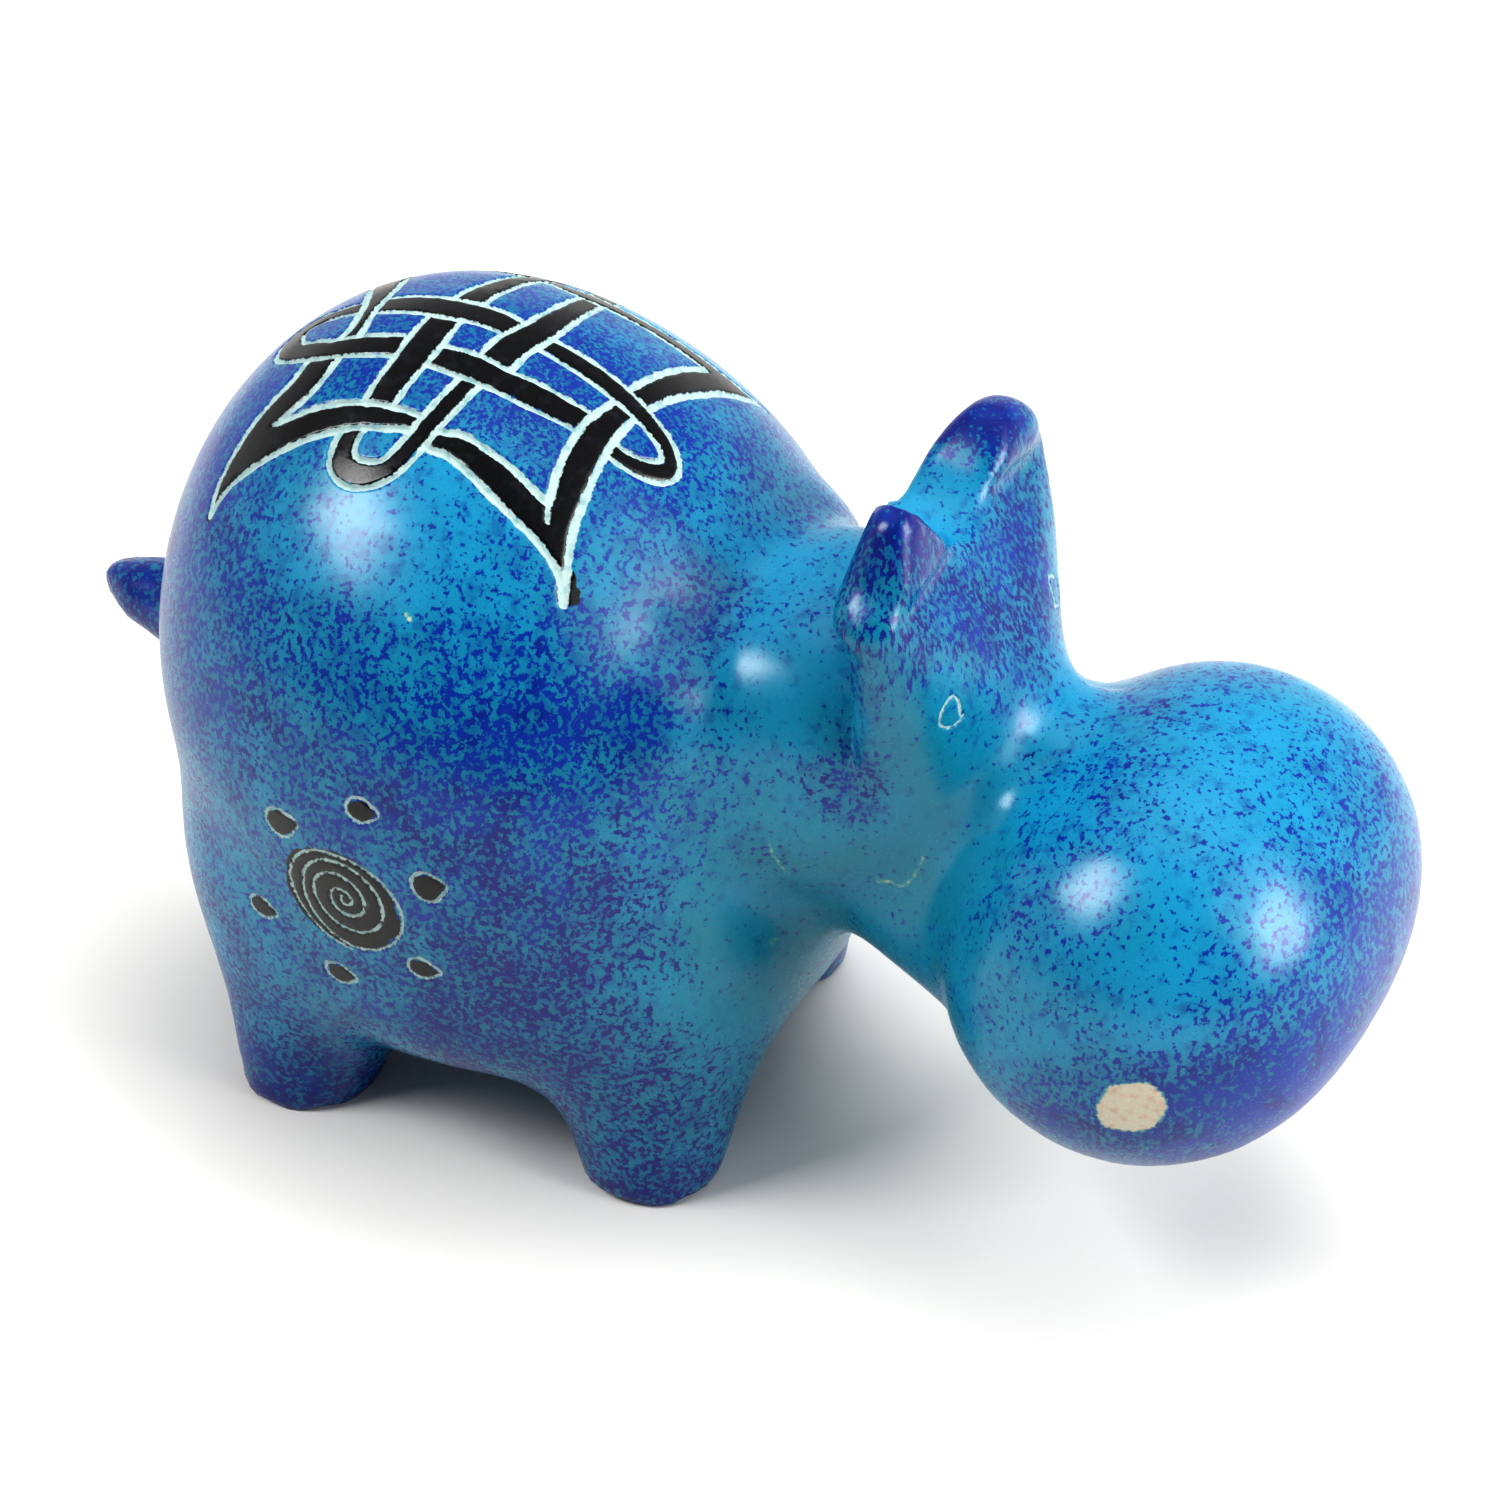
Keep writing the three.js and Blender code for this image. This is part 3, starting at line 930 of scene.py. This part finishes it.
@dataclass
class CarvedBody:
    """The carved body: a finer copy of the solid, with the ornament cut into it."""

    node: str = "hippo"
    name: str = "carved_hippo"
    merge_distance: float = 0.01
    flatness: float = 50.0
    base_levels: int = 1
    smooth_levels: int = 3
    splits: int = 3
    finest: float = 0.24
    crown_size: float = 0.45
    drawings: list[Drawing] = field(default_factory=list)
    swells: tuple = (
        Swell((0, -1, 43), 21.3, 11.0, 11.0, 14.4, 3.2, 2.0, 2.5),
        Swell((0, -10, 44), 15.7, 16.0, 8.0, 14.6, 2.5, 2.3, 3.6),
    )
    crown: EarCarving = field(default_factory=EarCarving)
    dyes: DyeMap = field(default_factory=DyeMap)

    def choose(self, piece: bpy.types.Object) -> None:
        """Make a piece the only one selected."""
        bpy.ops.object.select_all(action="DESELECT")
        piece.select_set(True)
        bpy.context.view_layer.objects.active = piece

    def copy_solid(self, node: bpy.types.Object, name: str) -> bpy.types.Object:
        """Copy the solid and merge its loose triangles.

        Args:
            node: The solid's object.
            name: The copy's name.

        Returns:
            The copy.
        """
        self.choose(node)
        bpy.ops.object.duplicate()
        piece = bpy.context.view_layer.objects.active
        piece.name = name
        piece.data.name = name
        piece.parent = None
        piece.matrix_world = Matrix.Identity(4)
        for key in list(piece.keys()):
            del piece[key]
        piece.data.materials.clear()
        bpy.ops.mesh.customdata_custom_splitnormals_clear()
        bpy.ops.object.mode_set(mode="EDIT")
        bpy.ops.mesh.select_all(action="SELECT")
        bpy.ops.mesh.remove_doubles(threshold=self.merge_distance * MM)
        bpy.ops.mesh.tris_convert_to_quads(
            face_threshold=math.radians(self.flatness),
            shape_threshold=math.radians(self.flatness),
        )
        bpy.ops.object.mode_set(mode="OBJECT")
        return piece

    def smooth(self, piece: bpy.types.Object, levels: int) -> None:
        """Divide a piece smoothly, as many times as levels says."""
        self.choose(piece)
        modifier = piece.modifiers.new("smooth", "SUBSURF")
        modifier.levels = levels
        modifier.render_levels = levels
        bpy.ops.object.modifier_apply(modifier=modifier.name)

    def read(self, piece: bpy.types.Object) -> tuple[np.ndarray, np.ndarray]:
        """Read a piece's points in millimetres, and its outward directions."""
        mesh = piece.data
        points = np.zeros(len(mesh.vertices) * 3)
        mesh.vertices.foreach_get("co", points)
        normals = np.zeros(len(mesh.vertices) * 3)
        mesh.vertex_normals.foreach_get("vector", normals)
        return points.reshape(-1, 3) / MM, normals.reshape(-1, 3)

    def faces_to_split(self, piece: bpy.types.Object) -> np.ndarray:
        """Tell which faces are too coarse for the line that runs through or past them.

        Args:
            piece: The body.

        Returns:
            True for each face to split.
        """
        mesh = piece.data
        count = len(mesh.polygons)
        centres, normals = np.zeros(count * 3), np.zeros(count * 3)
        area = np.zeros(count)
        mesh.polygons.foreach_get("center", centres)
        mesh.polygons.foreach_get("normal", normals)
        mesh.polygons.foreach_get("area", area)
        centres = centres.reshape(-1, 3) / MM
        size = np.sqrt(area) / MM
        marks = self.marks(centres, normals.reshape(-1, 3))
        edges = np.minimum(marks.line, np.minimum(np.abs(marks.paint), np.abs(marks.bare)))
        lined = (size > self.finest) & (edges < 0.75 * size)
        crown = (size > self.crown_size) & (self.crown.share(centres) > 0)
        return lined | crown

    def refine(self, piece: bpy.types.Object, target: bpy.types.Object) -> None:
        """Split the faces along the ornament, and lay the new points on the smooth surface.

        Args:
            piece: The body.
            target: A smoother copy of it.
        """
        self.choose(piece)
        for _ in range(self.splits):
            wanted = self.faces_to_split(piece)
            bpy.ops.object.mode_set(mode="EDIT")
            bpy.ops.mesh.select_mode(type="FACE")
            bpy.ops.mesh.select_all(action="DESELECT")
            bpy.ops.object.mode_set(mode="OBJECT")
            piece.data.polygons.foreach_set("select", wanted)
            bpy.ops.object.mode_set(mode="EDIT")
            bpy.ops.mesh.subdivide(number_cuts=1, ngon=False)
            bpy.ops.object.mode_set(mode="OBJECT")
        modifier = piece.modifiers.new("lay", "SHRINKWRAP")
        modifier.target = target
        modifier.wrap_method = "NEAREST_SURFACEPOINT"
        bpy.ops.object.modifier_apply(modifier=modifier.name)

    def marks(self, points: np.ndarray, normals: np.ndarray) -> Marks:
        """Gather what all the drawings do to a set of points."""
        marks = Marks.blank(len(points))
        for drawing in self.drawings:
            drawing.mark(points, normals, marks)
        return marks

    def engrave(self, piece: bpy.types.Object) -> None:
        """Cut the ornament into the body and store its distances on the mesh."""
        points, normals = self.read(piece)
        points = self.crown.settle(points)
        marks = self.marks(points, normals)
        moved = (points - normals * marks.cut[:, None]) * MM
        piece.data.vertices.foreach_set("co", moved.ravel())
        for key in ("line", "paint", "bare"):
            self.store(piece, key, getattr(marks, key))
        # the teal share stored here is partly painted shade on lower and side faces
        for key, share in zip(("indigo", "teal_and_shade", "violet", "brushed"), self.dyes.shares(points).T):
            self.store(piece, key, share)
        piece.data.update()

    def store(self, piece: bpy.types.Object, key: str, values: np.ndarray) -> None:
        """Store one number for each point of a piece."""
        attribute = piece.data.attributes.new(key, "FLOAT", "POINT")
        attribute.data.foreach_set("value", values.astype(np.float32))

    def build(self, nodes: dict[str, bpy.types.Object]) -> bpy.types.Object:
        """Build the body in place of the solid.

        Args:
            nodes: The frame's nodes.

        Returns:
            The finished piece.
        """
        target = self.copy_solid(nodes[self.node], "smooth_form")
        self.smooth(target, self.smooth_levels)
        points = self.read(target)[0]
        for swell in self.swells:
            points = swell.fill(points)
        target.data.vertices.foreach_set("co", (points * MM).ravel())
        piece = self.copy_solid(nodes[self.node], self.name)
        self.smooth(piece, self.base_levels)
        self.refine(piece, target)
        bpy.data.objects.remove(target)
        self.engrave(piece)
        self.choose(piece)
        bpy.ops.object.shade_smooth()
        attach(piece, "root")
        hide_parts(self.node)
        piece.data.calc_loop_triangles()
        LOG.info("%s: %d triangles", piece.name, len(piece.data.loop_triangles))
        return piece


@dataclass(frozen=True)
class DyedSoapstone:
    """Soapstone, carved, sanded fine, sponged with two dyes, painted, scratched and waxed.

    The sanded stone takes the dye unevenly: a clear turquoise ground under squiggly dabs of
    indigo, crowded in some places and sparse in others. Low down and on the sides the ground
    turns teal, partly dye and partly painted shade. The scratched lines show the pale stone,
    faintly stained. The wax gives a soft sheen with bright, blurred reflections.
    """

    turquoise: str = "1984A8"
    # teal: the ground's greener colour, used partly as painted shade on lower and side faces
    teal_and_shade: str = "157A8C"
    deep_ground: str = "0E5A74"
    cobalt: str = "0C4884"
    thin_indigo: str = "0A2E86"
    indigo: str = "081C6E"
    violet: str = "291C72"
    black: str = "07080B"
    worn_black: str = "1A1D26"
    mint: str = "84A6A8"
    pale_mint: str = "A6BCBA"
    stone: str = "BAB4A2"
    pink_stone: str = "B69E8E"
    thin_dye: str = "589C94"
    dab: float = 0.56
    wash: float = 1.3
    patch: float = 5.0
    ground_cloud: float = 7.0
    line_wobble: float = 0.4
    paint_wobble: float = 1.7
    mottle: float = 0.9
    brush_stretch: float = 0.3
    sanding: float = 0.3
    roughness: float = 0.26
    wax_ior: float = 1.5
    gloss: float = 0.5

    def sponged_dye(
        self, tree: bpy.types.NodeTree, place: bpy.types.NodeSocket
    ) -> bpy.types.Node:
        """Dab the indigo over the turquoise ground.

        Args:
            tree: The node tree.
            place: The place on the object.

        Returns:
            The node whose output is the colour.
        """
        indigo = add_node(tree, "Attribute", {"attribute_name": "indigo"}, {}).outputs["Fac"]
        teal_and_shade = add_node(tree, "Attribute", {"attribute_name": "teal_and_shade"}, {}).outputs["Fac"]
        violet = add_node(tree, "Attribute", {"attribute_name": "violet"}, {}).outputs["Fac"]
        brushed = add_node(tree, "Attribute", {"attribute_name": "brushed"}, {}).outputs["Fac"]
        patches = add_node(
            tree, "TexNoise", {}, {"Vector": place, "Scale": 1 / (self.patch * MM), "Detail": 3}
        )
        crowding = add_node(
            tree, "Math", {"operation": "MULTIPLY_ADD"}, {0: patches, 1: 0.6, 2: -0.3}
        )
        crowding = add_node(tree, "Math", {}, {0: crowding, 1: indigo})

        clouds = add_node(
            tree,
            "TexNoise",
            {},
            {"Vector": place, "Scale": 1 / (self.ground_cloud * MM), "Detail": 2},
        )
        running = add_node(
            tree, "Math", {"operation": "MULTIPLY_ADD"}, {0: clouds, 1: 1.2, 2: -0.6}
        )
        # the teal share turns the ground teal: random clouds of dye, plus painted shade on lower
        # and side faces
        running = add_node(tree, "Math", {"use_clamp": True}, {0: running, 1: teal_and_shade})
        ground = add_node(
            tree,
            "Mix",
            {"data_type": "RGBA"},
            {"Factor": running, "A": linear(self.turquoise), "B": linear(self.teal_and_shade)},
        )
        soaked = add_node(
            tree,
            "MapRange",
            {"interpolation_type": "SMOOTHSTEP"},
            {"Value": crowding, "From Min": 0.15, "From Max": 0.8, "To Max": 0.75},
        )
        ground = add_node(
            tree,
            "Mix",
            {"data_type": "RGBA"},
            {"Factor": soaked, "A": ground, "B": linear(self.deep_ground)},
        )
        washes = add_node(
            tree, "TexNoise", {}, {"Vector": place, "Scale": 1 / (self.wash * MM), "Detail": 3}
        )
        washes = add_node(
            tree, "Math", {"operation": "MULTIPLY_ADD"}, {0: crowding, 1: 0.3, 2: washes}
        )
        washed = add_node(
            tree,
            "MapRange",
            {"interpolation_type": "SMOOTHSTEP"},
            {"Value": washes, "From Min": 0.6, "From Max": 0.8, "To Max": 0.5},
        )
        ground = add_node(
            tree,
            "Mix",
            {"data_type": "RGBA"},
            {"Factor": washed, "A": ground, "B": linear(self.cobalt)},
        )

        drawn_out = add_node(
            tree, "Mapping", {}, {"Vector": place, "Scale": (1.0, 1.0, self.brush_stretch)}
        )
        round_dabs = add_node(
            tree,
            "TexNoise",
            {},
            {"Vector": place, "Scale": 1 / (self.dab * MM), "Detail": 3, "Roughness": 0.6},
        )
        long_dabs = add_node(
            tree,
            "TexNoise",
            {},
            {
                "Vector": drawn_out,
                "Scale": 1 / (self.dab * 0.7 * MM),
                "Detail": 3,
                "Roughness": 0.6,
            },
        )
        dabs = add_node(
            tree,
            "Mix",
            {"data_type": "FLOAT"},
            {"Factor": brushed, "A": round_dabs, "B": long_dabs},
        )
        height = add_node(
            tree, "Math", {"operation": "MULTIPLY_ADD"}, {0: crowding, 1: 0.33, 2: dabs}
        )
        halo = add_node(
            tree,
            "MapRange",
            {"interpolation_type": "SMOOTHSTEP"},
            {"Value": height, "From Min": 0.655, "From Max": 0.69, "To Max": 0.45},
        )
        ground = add_node(
            tree,
            "Mix",
            {"data_type": "RGBA"},
            {"Factor": halo, "A": ground, "B": linear(self.cobalt)},
        )
        tints = add_node(
            tree,
            "TexNoise",
            {},
            {"Vector": place, "Scale": 1 / (self.patch * 0.8 * MM), "Detail": 2},
        )
        tints = add_node(
            tree, "Math", {"operation": "MULTIPLY_ADD"}, {0: tints, 1: 1.8, 2: -1.1}
        )
        tints = add_node(tree, "Math", {"use_clamp": True}, {0: tints, 1: violet})
        thicker = add_node(tree, "MapRange", {}, {"Value": tints, "From Max": 0.35})
        dark = add_node(
            tree,
            "Mix",
            {"data_type": "RGBA"},
            {"Factor": thicker, "A": linear(self.thin_indigo), "B": linear(self.indigo)},
        )
        redder = add_node(tree, "MapRange", {}, {"Value": tints, "From Min": 0.3})
        dark = add_node(
            tree,
            "Mix",
            {"data_type": "RGBA"},
            {"Factor": redder, "A": dark, "B": linear(self.violet)},
        )
        dabbed = add_node(
            tree,
            "MapRange",
            {"interpolation_type": "SMOOTHSTEP"},
            {"Value": height, "From Min": 0.682, "From Max": 0.708, "To Max": 0.96},
        )
        return add_node(
            tree, "Mix", {"data_type": "RGBA"}, {"Factor": dabbed, "A": ground, "B": dark}
        )

    def painted_black(
        self, tree: bpy.types.NodeTree, place: bpy.types.NodeSocket, colour: bpy.types.Node
    ) -> bpy.types.Node:
        """Paint the ornament's bands black by hand, short of the lines here and there.

        Args:
            tree: The node tree.
            place: The place on the object.
            colour: The colour beneath.

        Returns:
            The node whose output is the colour.
        """
        paint = add_node(tree, "Attribute", {"attribute_name": "paint"}, {}).outputs["Fac"]
        ragged = add_node(
            tree,
            "TexNoise",
            {},
            {"Vector": place, "Scale": 1 / (self.paint_wobble * MM), "Detail": 4},
        )
        ragged = add_node(
            tree, "Math", {"operation": "MULTIPLY_ADD"}, {0: ragged, 1: 1.3, 2: -0.47}
        )
        edge = add_node(tree, "Math", {}, {0: ragged, 1: paint})
        covered = add_node(
            tree,
            "MapRange",
            {"interpolation_type": "SMOOTHSTEP"},
            {"Value": edge, "From Min": 0.08, "From Max": -0.06},
        )
        wear = add_node(
            tree, "TexNoise", {}, {"Vector": place, "Scale": 1 / (self.wash * MM), "Detail": 5}
        )
        worn = add_node(
            tree,
            "MapRange",
            {"interpolation_type": "SMOOTHSTEP"},
            {"Value": wear, "From Min": 0.5, "From Max": 0.8},
        )
        black = add_node(
            tree,
            "Mix",
            {"data_type": "RGBA"},
            {"Factor": worn, "A": linear(self.black), "B": linear(self.worn_black)},
        )
        return add_node(
            tree, "Mix", {"data_type": "RGBA"}, {"Factor": covered, "A": colour, "B": black}
        )

    def bare_stone(
        self, tree: bpy.types.NodeTree, place: bpy.types.NodeSocket, colour: bpy.types.Node
    ) -> bpy.types.Node:
        """Scrape the dye off down to the mottled stone, with thinned dye round the edge.

        Args:
            tree: The node tree.
            place: The place on the object.
            colour: The colour beneath.

        Returns:
            The node whose output is the colour.
        """
        bare = add_node(tree, "Attribute", {"attribute_name": "bare"}, {}).outputs["Fac"]
        uneven = add_node(
            tree,
            "TexNoise",
            {},
            {"Vector": place, "Scale": 1 / (self.line_wobble * MM), "Detail": 3},
        )
        uneven = add_node(
            tree, "Math", {"operation": "MULTIPLY_ADD"}, {0: uneven, 1: 0.8, 2: -0.4}
        )
        edge = add_node(tree, "Math", {}, {0: uneven, 1: bare})
        thinned = add_node(
            tree,
            "MapRange",
            {"interpolation_type": "SMOOTHSTEP"},
            {"Value": edge, "From Min": 0.2, "From Max": 0.0, "To Max": 0.7},
        )
        colour = add_node(
            tree,
            "Mix",
            {"data_type": "RGBA"},
            {"Factor": thinned, "A": colour, "B": linear(self.thin_dye)},
        )
        mottling = add_node(
            tree, "TexNoise", {}, {"Vector": place, "Scale": 1 / (self.mottle * MM), "Detail": 4}
        )
        mottled = add_node(
            tree,
            "MapRange",
            {"interpolation_type": "SMOOTHSTEP"},
            {"Value": mottling, "From Min": 0.45, "From Max": 0.7},
        )
        stone = add_node(
            tree,
            "Mix",
            {"data_type": "RGBA"},
            {"Factor": mottled, "A": linear(self.stone), "B": linear(self.pink_stone)},
        )
        scraped = add_node(
            tree,
            "MapRange",
            {"interpolation_type": "SMOOTHSTEP"},
            {"Value": edge, "From Min": 0.05, "From Max": -0.18},
        )
        return add_node(
            tree, "Mix", {"data_type": "RGBA"}, {"Factor": scraped, "A": colour, "B": stone}
        )

    def line_share(
        self, tree: bpy.types.NodeTree, place: bpy.types.NodeSocket
    ) -> bpy.types.Node:
        """Find the scratched lines, whose edges crumble a little.

        Args:
            tree: The node tree.
            place: The place on the object.

        Returns:
            The node whose output is 1 in a line and 0 outside.
        """
        line = add_node(tree, "Attribute", {"attribute_name": "line"}, {}).outputs["Fac"]
        crumbling = add_node(
            tree,
            "TexNoise",
            {},
            {"Vector": place, "Scale": 1 / (self.line_wobble * MM), "Detail": 3},
        )
        crumbling = add_node(
            tree, "Math", {"operation": "MULTIPLY_ADD"}, {0: crumbling, 1: 0.36, 2: -0.18}
        )
        edge = add_node(tree, "Math", {}, {0: crumbling, 1: line})
        return add_node(
            tree,
            "MapRange",
            {"interpolation_type": "SMOOTHSTEP"},
            {"Value": edge, "From Min": 0.05, "From Max": -0.05},
        )

    def scratched_line(
        self,
        tree: bpy.types.NodeTree,
        place: bpy.types.NodeSocket,
        colour: bpy.types.Node,
        in_line: bpy.types.Node,
    ) -> bpy.types.Node:
        """Show the pale, faintly stained stone in the lines.

        Args:
            tree: The node tree.
            place: The place on the object.
            colour: The colour beneath.
            in_line: The node that finds the lines.

        Returns:
            The node whose output is the colour.
        """
        stains = add_node(
            tree, "TexNoise", {}, {"Vector": place, "Scale": 1 / (self.mottle * MM), "Detail": 4}
        )
        cleaned = add_node(
            tree,
            "MapRange",
            {"interpolation_type": "SMOOTHSTEP"},
            {"Value": stains, "From Min": 0.3, "From Max": 0.52},
        )
        stone = add_node(
            tree,
            "Mix",
            {"data_type": "RGBA"},
            {"Factor": cleaned, "A": linear(self.mint), "B": linear(self.pale_mint)},
        )
        return add_node(
            tree, "Mix", {"data_type": "RGBA"}, {"Factor": in_line, "A": colour, "B": stone}
        )

    def build(self) -> bpy.types.Material:
        """Build the finish."""
        material = bpy.data.materials.new("dyed_waxed_soapstone")
        material.use_nodes = True
        tree = material.node_tree
        tree.nodes.clear()
        place = add_node(tree, "TexCoord", {}, {}).outputs["Object"]
        colour = self.sponged_dye(tree, place)
        colour = self.painted_black(tree, place, colour)
        colour = self.bare_stone(tree, place, colour)
        in_line = self.line_share(tree, place)
        colour = self.scratched_line(tree, place, colour, in_line)
        grain = add_node(
            tree, "TexNoise", {}, {"Vector": place, "Scale": 1 / (self.sanding * MM), "Detail": 4}
        )
        relief = add_node(
            tree, "Bump", {}, {"Height": grain, "Strength": 0.12, "Distance": 0.05 * MM}
        )
        sheen = add_node(
            tree,
            "Math",
            {"operation": "MULTIPLY_ADD"},
            {0: grain, 1: 0.12, 2: self.roughness - 0.06},
        )
        sheen = add_node(
            tree, "Math", {"operation": "MULTIPLY_ADD"}, {0: in_line, 1: 0.3, 2: sheen}
        )
        shader = add_node(
            tree,
            "BsdfPrincipled",
            {},
            {
                "Base Color": colour,
                "Roughness": sheen,
                "IOR": self.wax_ior,
                "Specular IOR Level": self.gloss,
                "Normal": relief,
            },
        )
        add_node(tree, "OutputMaterial", {}, {"Surface": shader})
        return material


@dataclass(frozen=True)
class Softbox:
    """One soft light, placed by its direction from the figurine in degrees, sizes in metres."""

    name: str
    azimuth: float
    elevation: float
    distance: float
    size: float
    watts: float
    mirrored: bool = True


@dataclass
class Studio:
    """A plain pale floor, a pale surround at eye level and soft lights."""

    target: tuple = (0.0, 0.0, 35.0)
    floor_size: float = 6.0
    floor_colour: str = "DFDDD9"
    wall_strength: float = 0.75
    ceiling_strength: float = 0.3
    wall_top: float = 0.12
    ceiling_start: float = 0.5
    room_side: tuple = (-0.9, -0.43, 0.0)
    room_share: float = 0.25
    lights: tuple = (
        Softbox("tent_roof", 95, 66, 1.0, 0.8, 6.3, False),
        Softbox("over_shoulder", 6, 72, 0.9, 0.4, 0.8, False),
        Softbox("window", 3, 31, 0.8, 0.75, 2.4),
        Softbox("window_core", 3, 24, 0.78, 0.4, 3.2),
        Softbox("rear", -134, 47, 0.9, 0.36, 4.2),
    )

    def paper(self) -> bpy.types.Material:
        """Build the matt white paper of the floor."""
        material = bpy.data.materials.new("matt_white_paper")
        material.use_nodes = True
        shader = material.node_tree.nodes["Principled BSDF"]
        shader.inputs["Base Color"].default_value = linear(self.floor_colour)
        shader.inputs["Roughness"].default_value = 0.9
        return material

    def surround(self) -> bpy.types.World:
        """Build the surround: pale at eye level, dim overhead and on the camera's side."""
        world = bpy.data.worlds.new("pale_surround")
        world.use_nodes = True
        tree = world.node_tree
        way = add_node(tree, "TexCoord", {}, {}).outputs["Generated"]
        split = add_node(tree, "SeparateXYZ", {}, {"Vector": way})
        strength = add_node(
            tree,
            "MapRange",
            {},
            {
                "Value": split.outputs["Z"],
                "From Min": self.wall_top,
                "From Max": self.ceiling_start,
                "To Min": self.wall_strength,
                "To Max": self.ceiling_strength,
            },
        )
        towards_room = add_node(
            tree, "VectorMath", {"operation": "DOT_PRODUCT"}, {0: way, 1: self.room_side}
        ).outputs["Value"]
        dimmed = add_node(
            tree,
            "MapRange",
            {},
            {
                "Value": towards_room,
                "From Min": -0.1,
                "From Max": 0.6,
                "To Min": 1.0,
                "To Max": self.room_share,
            },
        )
        strength = add_node(tree, "Math", {"operation": "MULTIPLY"}, {0: strength, 1: dimmed})
        sky = tree.nodes["Background"]
        sky.inputs["Color"].default_value = (1, 1, 1, 1)
        tree.links.new(strength.outputs["Value"], sky.inputs["Strength"])
        return world

    def build(self) -> None:
        """Build the floor, the surround and the lights."""
        bpy.ops.object.select_all(action="DESELECT")
        bpy.ops.mesh.primitive_plane_add(size=self.floor_size)
        floor = bpy.context.view_layer.objects.active
        floor.name = "studio_floor"
        floor.data.materials.append(self.paper())
        bpy.context.scene.world = self.surround()
        aim = Vector(self.target) * MM
        for box in self.lights:
            azimuth, elevation = math.radians(box.azimuth), math.radians(box.elevation)
            way = Vector(
                (
                    math.sin(azimuth) * math.cos(elevation),
                    -math.cos(azimuth) * math.cos(elevation),
                    math.sin(elevation),
                )
            )
            lamp = bpy.data.lights.new(box.name, "AREA")
            lamp.size = box.size
            lamp.energy = box.watts
            holder = bpy.data.objects.new(box.name, lamp)
            holder.location = aim + way * box.distance
            holder.rotation_euler = (-way).to_track_quat("-Z", "Y").to_euler()
            holder.visible_glossy = box.mirrored
            bpy.context.scene.collection.objects.link(holder)
        LOG.info("studio: floor and %d lights", len(self.lights))


@dataclass(frozen=True)
class ProductCamera:
    """The camera, at the photograph's viewing angle."""

    azimuth: float = -64.5
    elevation: float = 36.0
    roll: float = 0.9
    target: tuple = (-2.4, -4.8, 38.5)
    distance: float = 390.0
    focal_pixels: float = 4371.9
    frame_pixels: float = 1500.0
    sensor: float = 36.0

    def build(self) -> bpy.types.Object:
        """Set the camera up and make it the scene's own."""
        azimuth, elevation = math.radians(self.azimuth), math.radians(self.elevation)
        back = Vector(
            (
                math.sin(azimuth) * math.cos(elevation),
                -math.cos(azimuth) * math.cos(elevation),
                math.sin(elevation),
            )
        )
        level = Vector((math.cos(azimuth), math.sin(azimuth), 0))
        rise = back.cross(level)
        c, s = math.cos(math.radians(self.roll)), math.sin(math.radians(self.roll))
        right, up = c * level + s * rise, c * rise - s * level
        lens = bpy.data.cameras.new("camera")
        lens.sensor_width = self.sensor
        lens.lens = self.focal_pixels / self.frame_pixels * self.sensor
        lens.clip_start = 0.01
        camera = bpy.data.objects.new("camera", lens)
        bpy.context.scene.collection.objects.link(camera)
        turn = Matrix((right, up, back)).transposed().to_4x4()
        spot = (Vector(self.target) + back * self.distance) * MM
        camera.matrix_world = Matrix.Translation(spot) @ turn
        bpy.context.scene.camera = camera
        LOG.info("camera: %.1f mm lens at %.0f mm", lens.lens, self.distance)
        return camera


def main() -> None:
    """Build the figurine, its finish, the studio and the camera."""
    logging.basicConfig(level=logging.INFO, format="%(name)s: %(message)s")
    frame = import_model()
    drawings = [KnotOnBack().draw()]
    for side in Side:
        drawings.append(SpiralOnFlank(side).draw())
        drawings.extend(FaceMarks(side).draw())
    drawings.append(Wear().draw())
    body = CarvedBody(drawings=drawings).build(frame["nodes"])
    body.data.materials.append(DyedSoapstone().build())
    Studio().build()
    ProductCamera().build()
    bpy.context.scene.view_settings.view_transform = "Standard"
    bpy.context.scene.view_settings.look = "High Contrast"


if __name__ == "__main__":
    main()
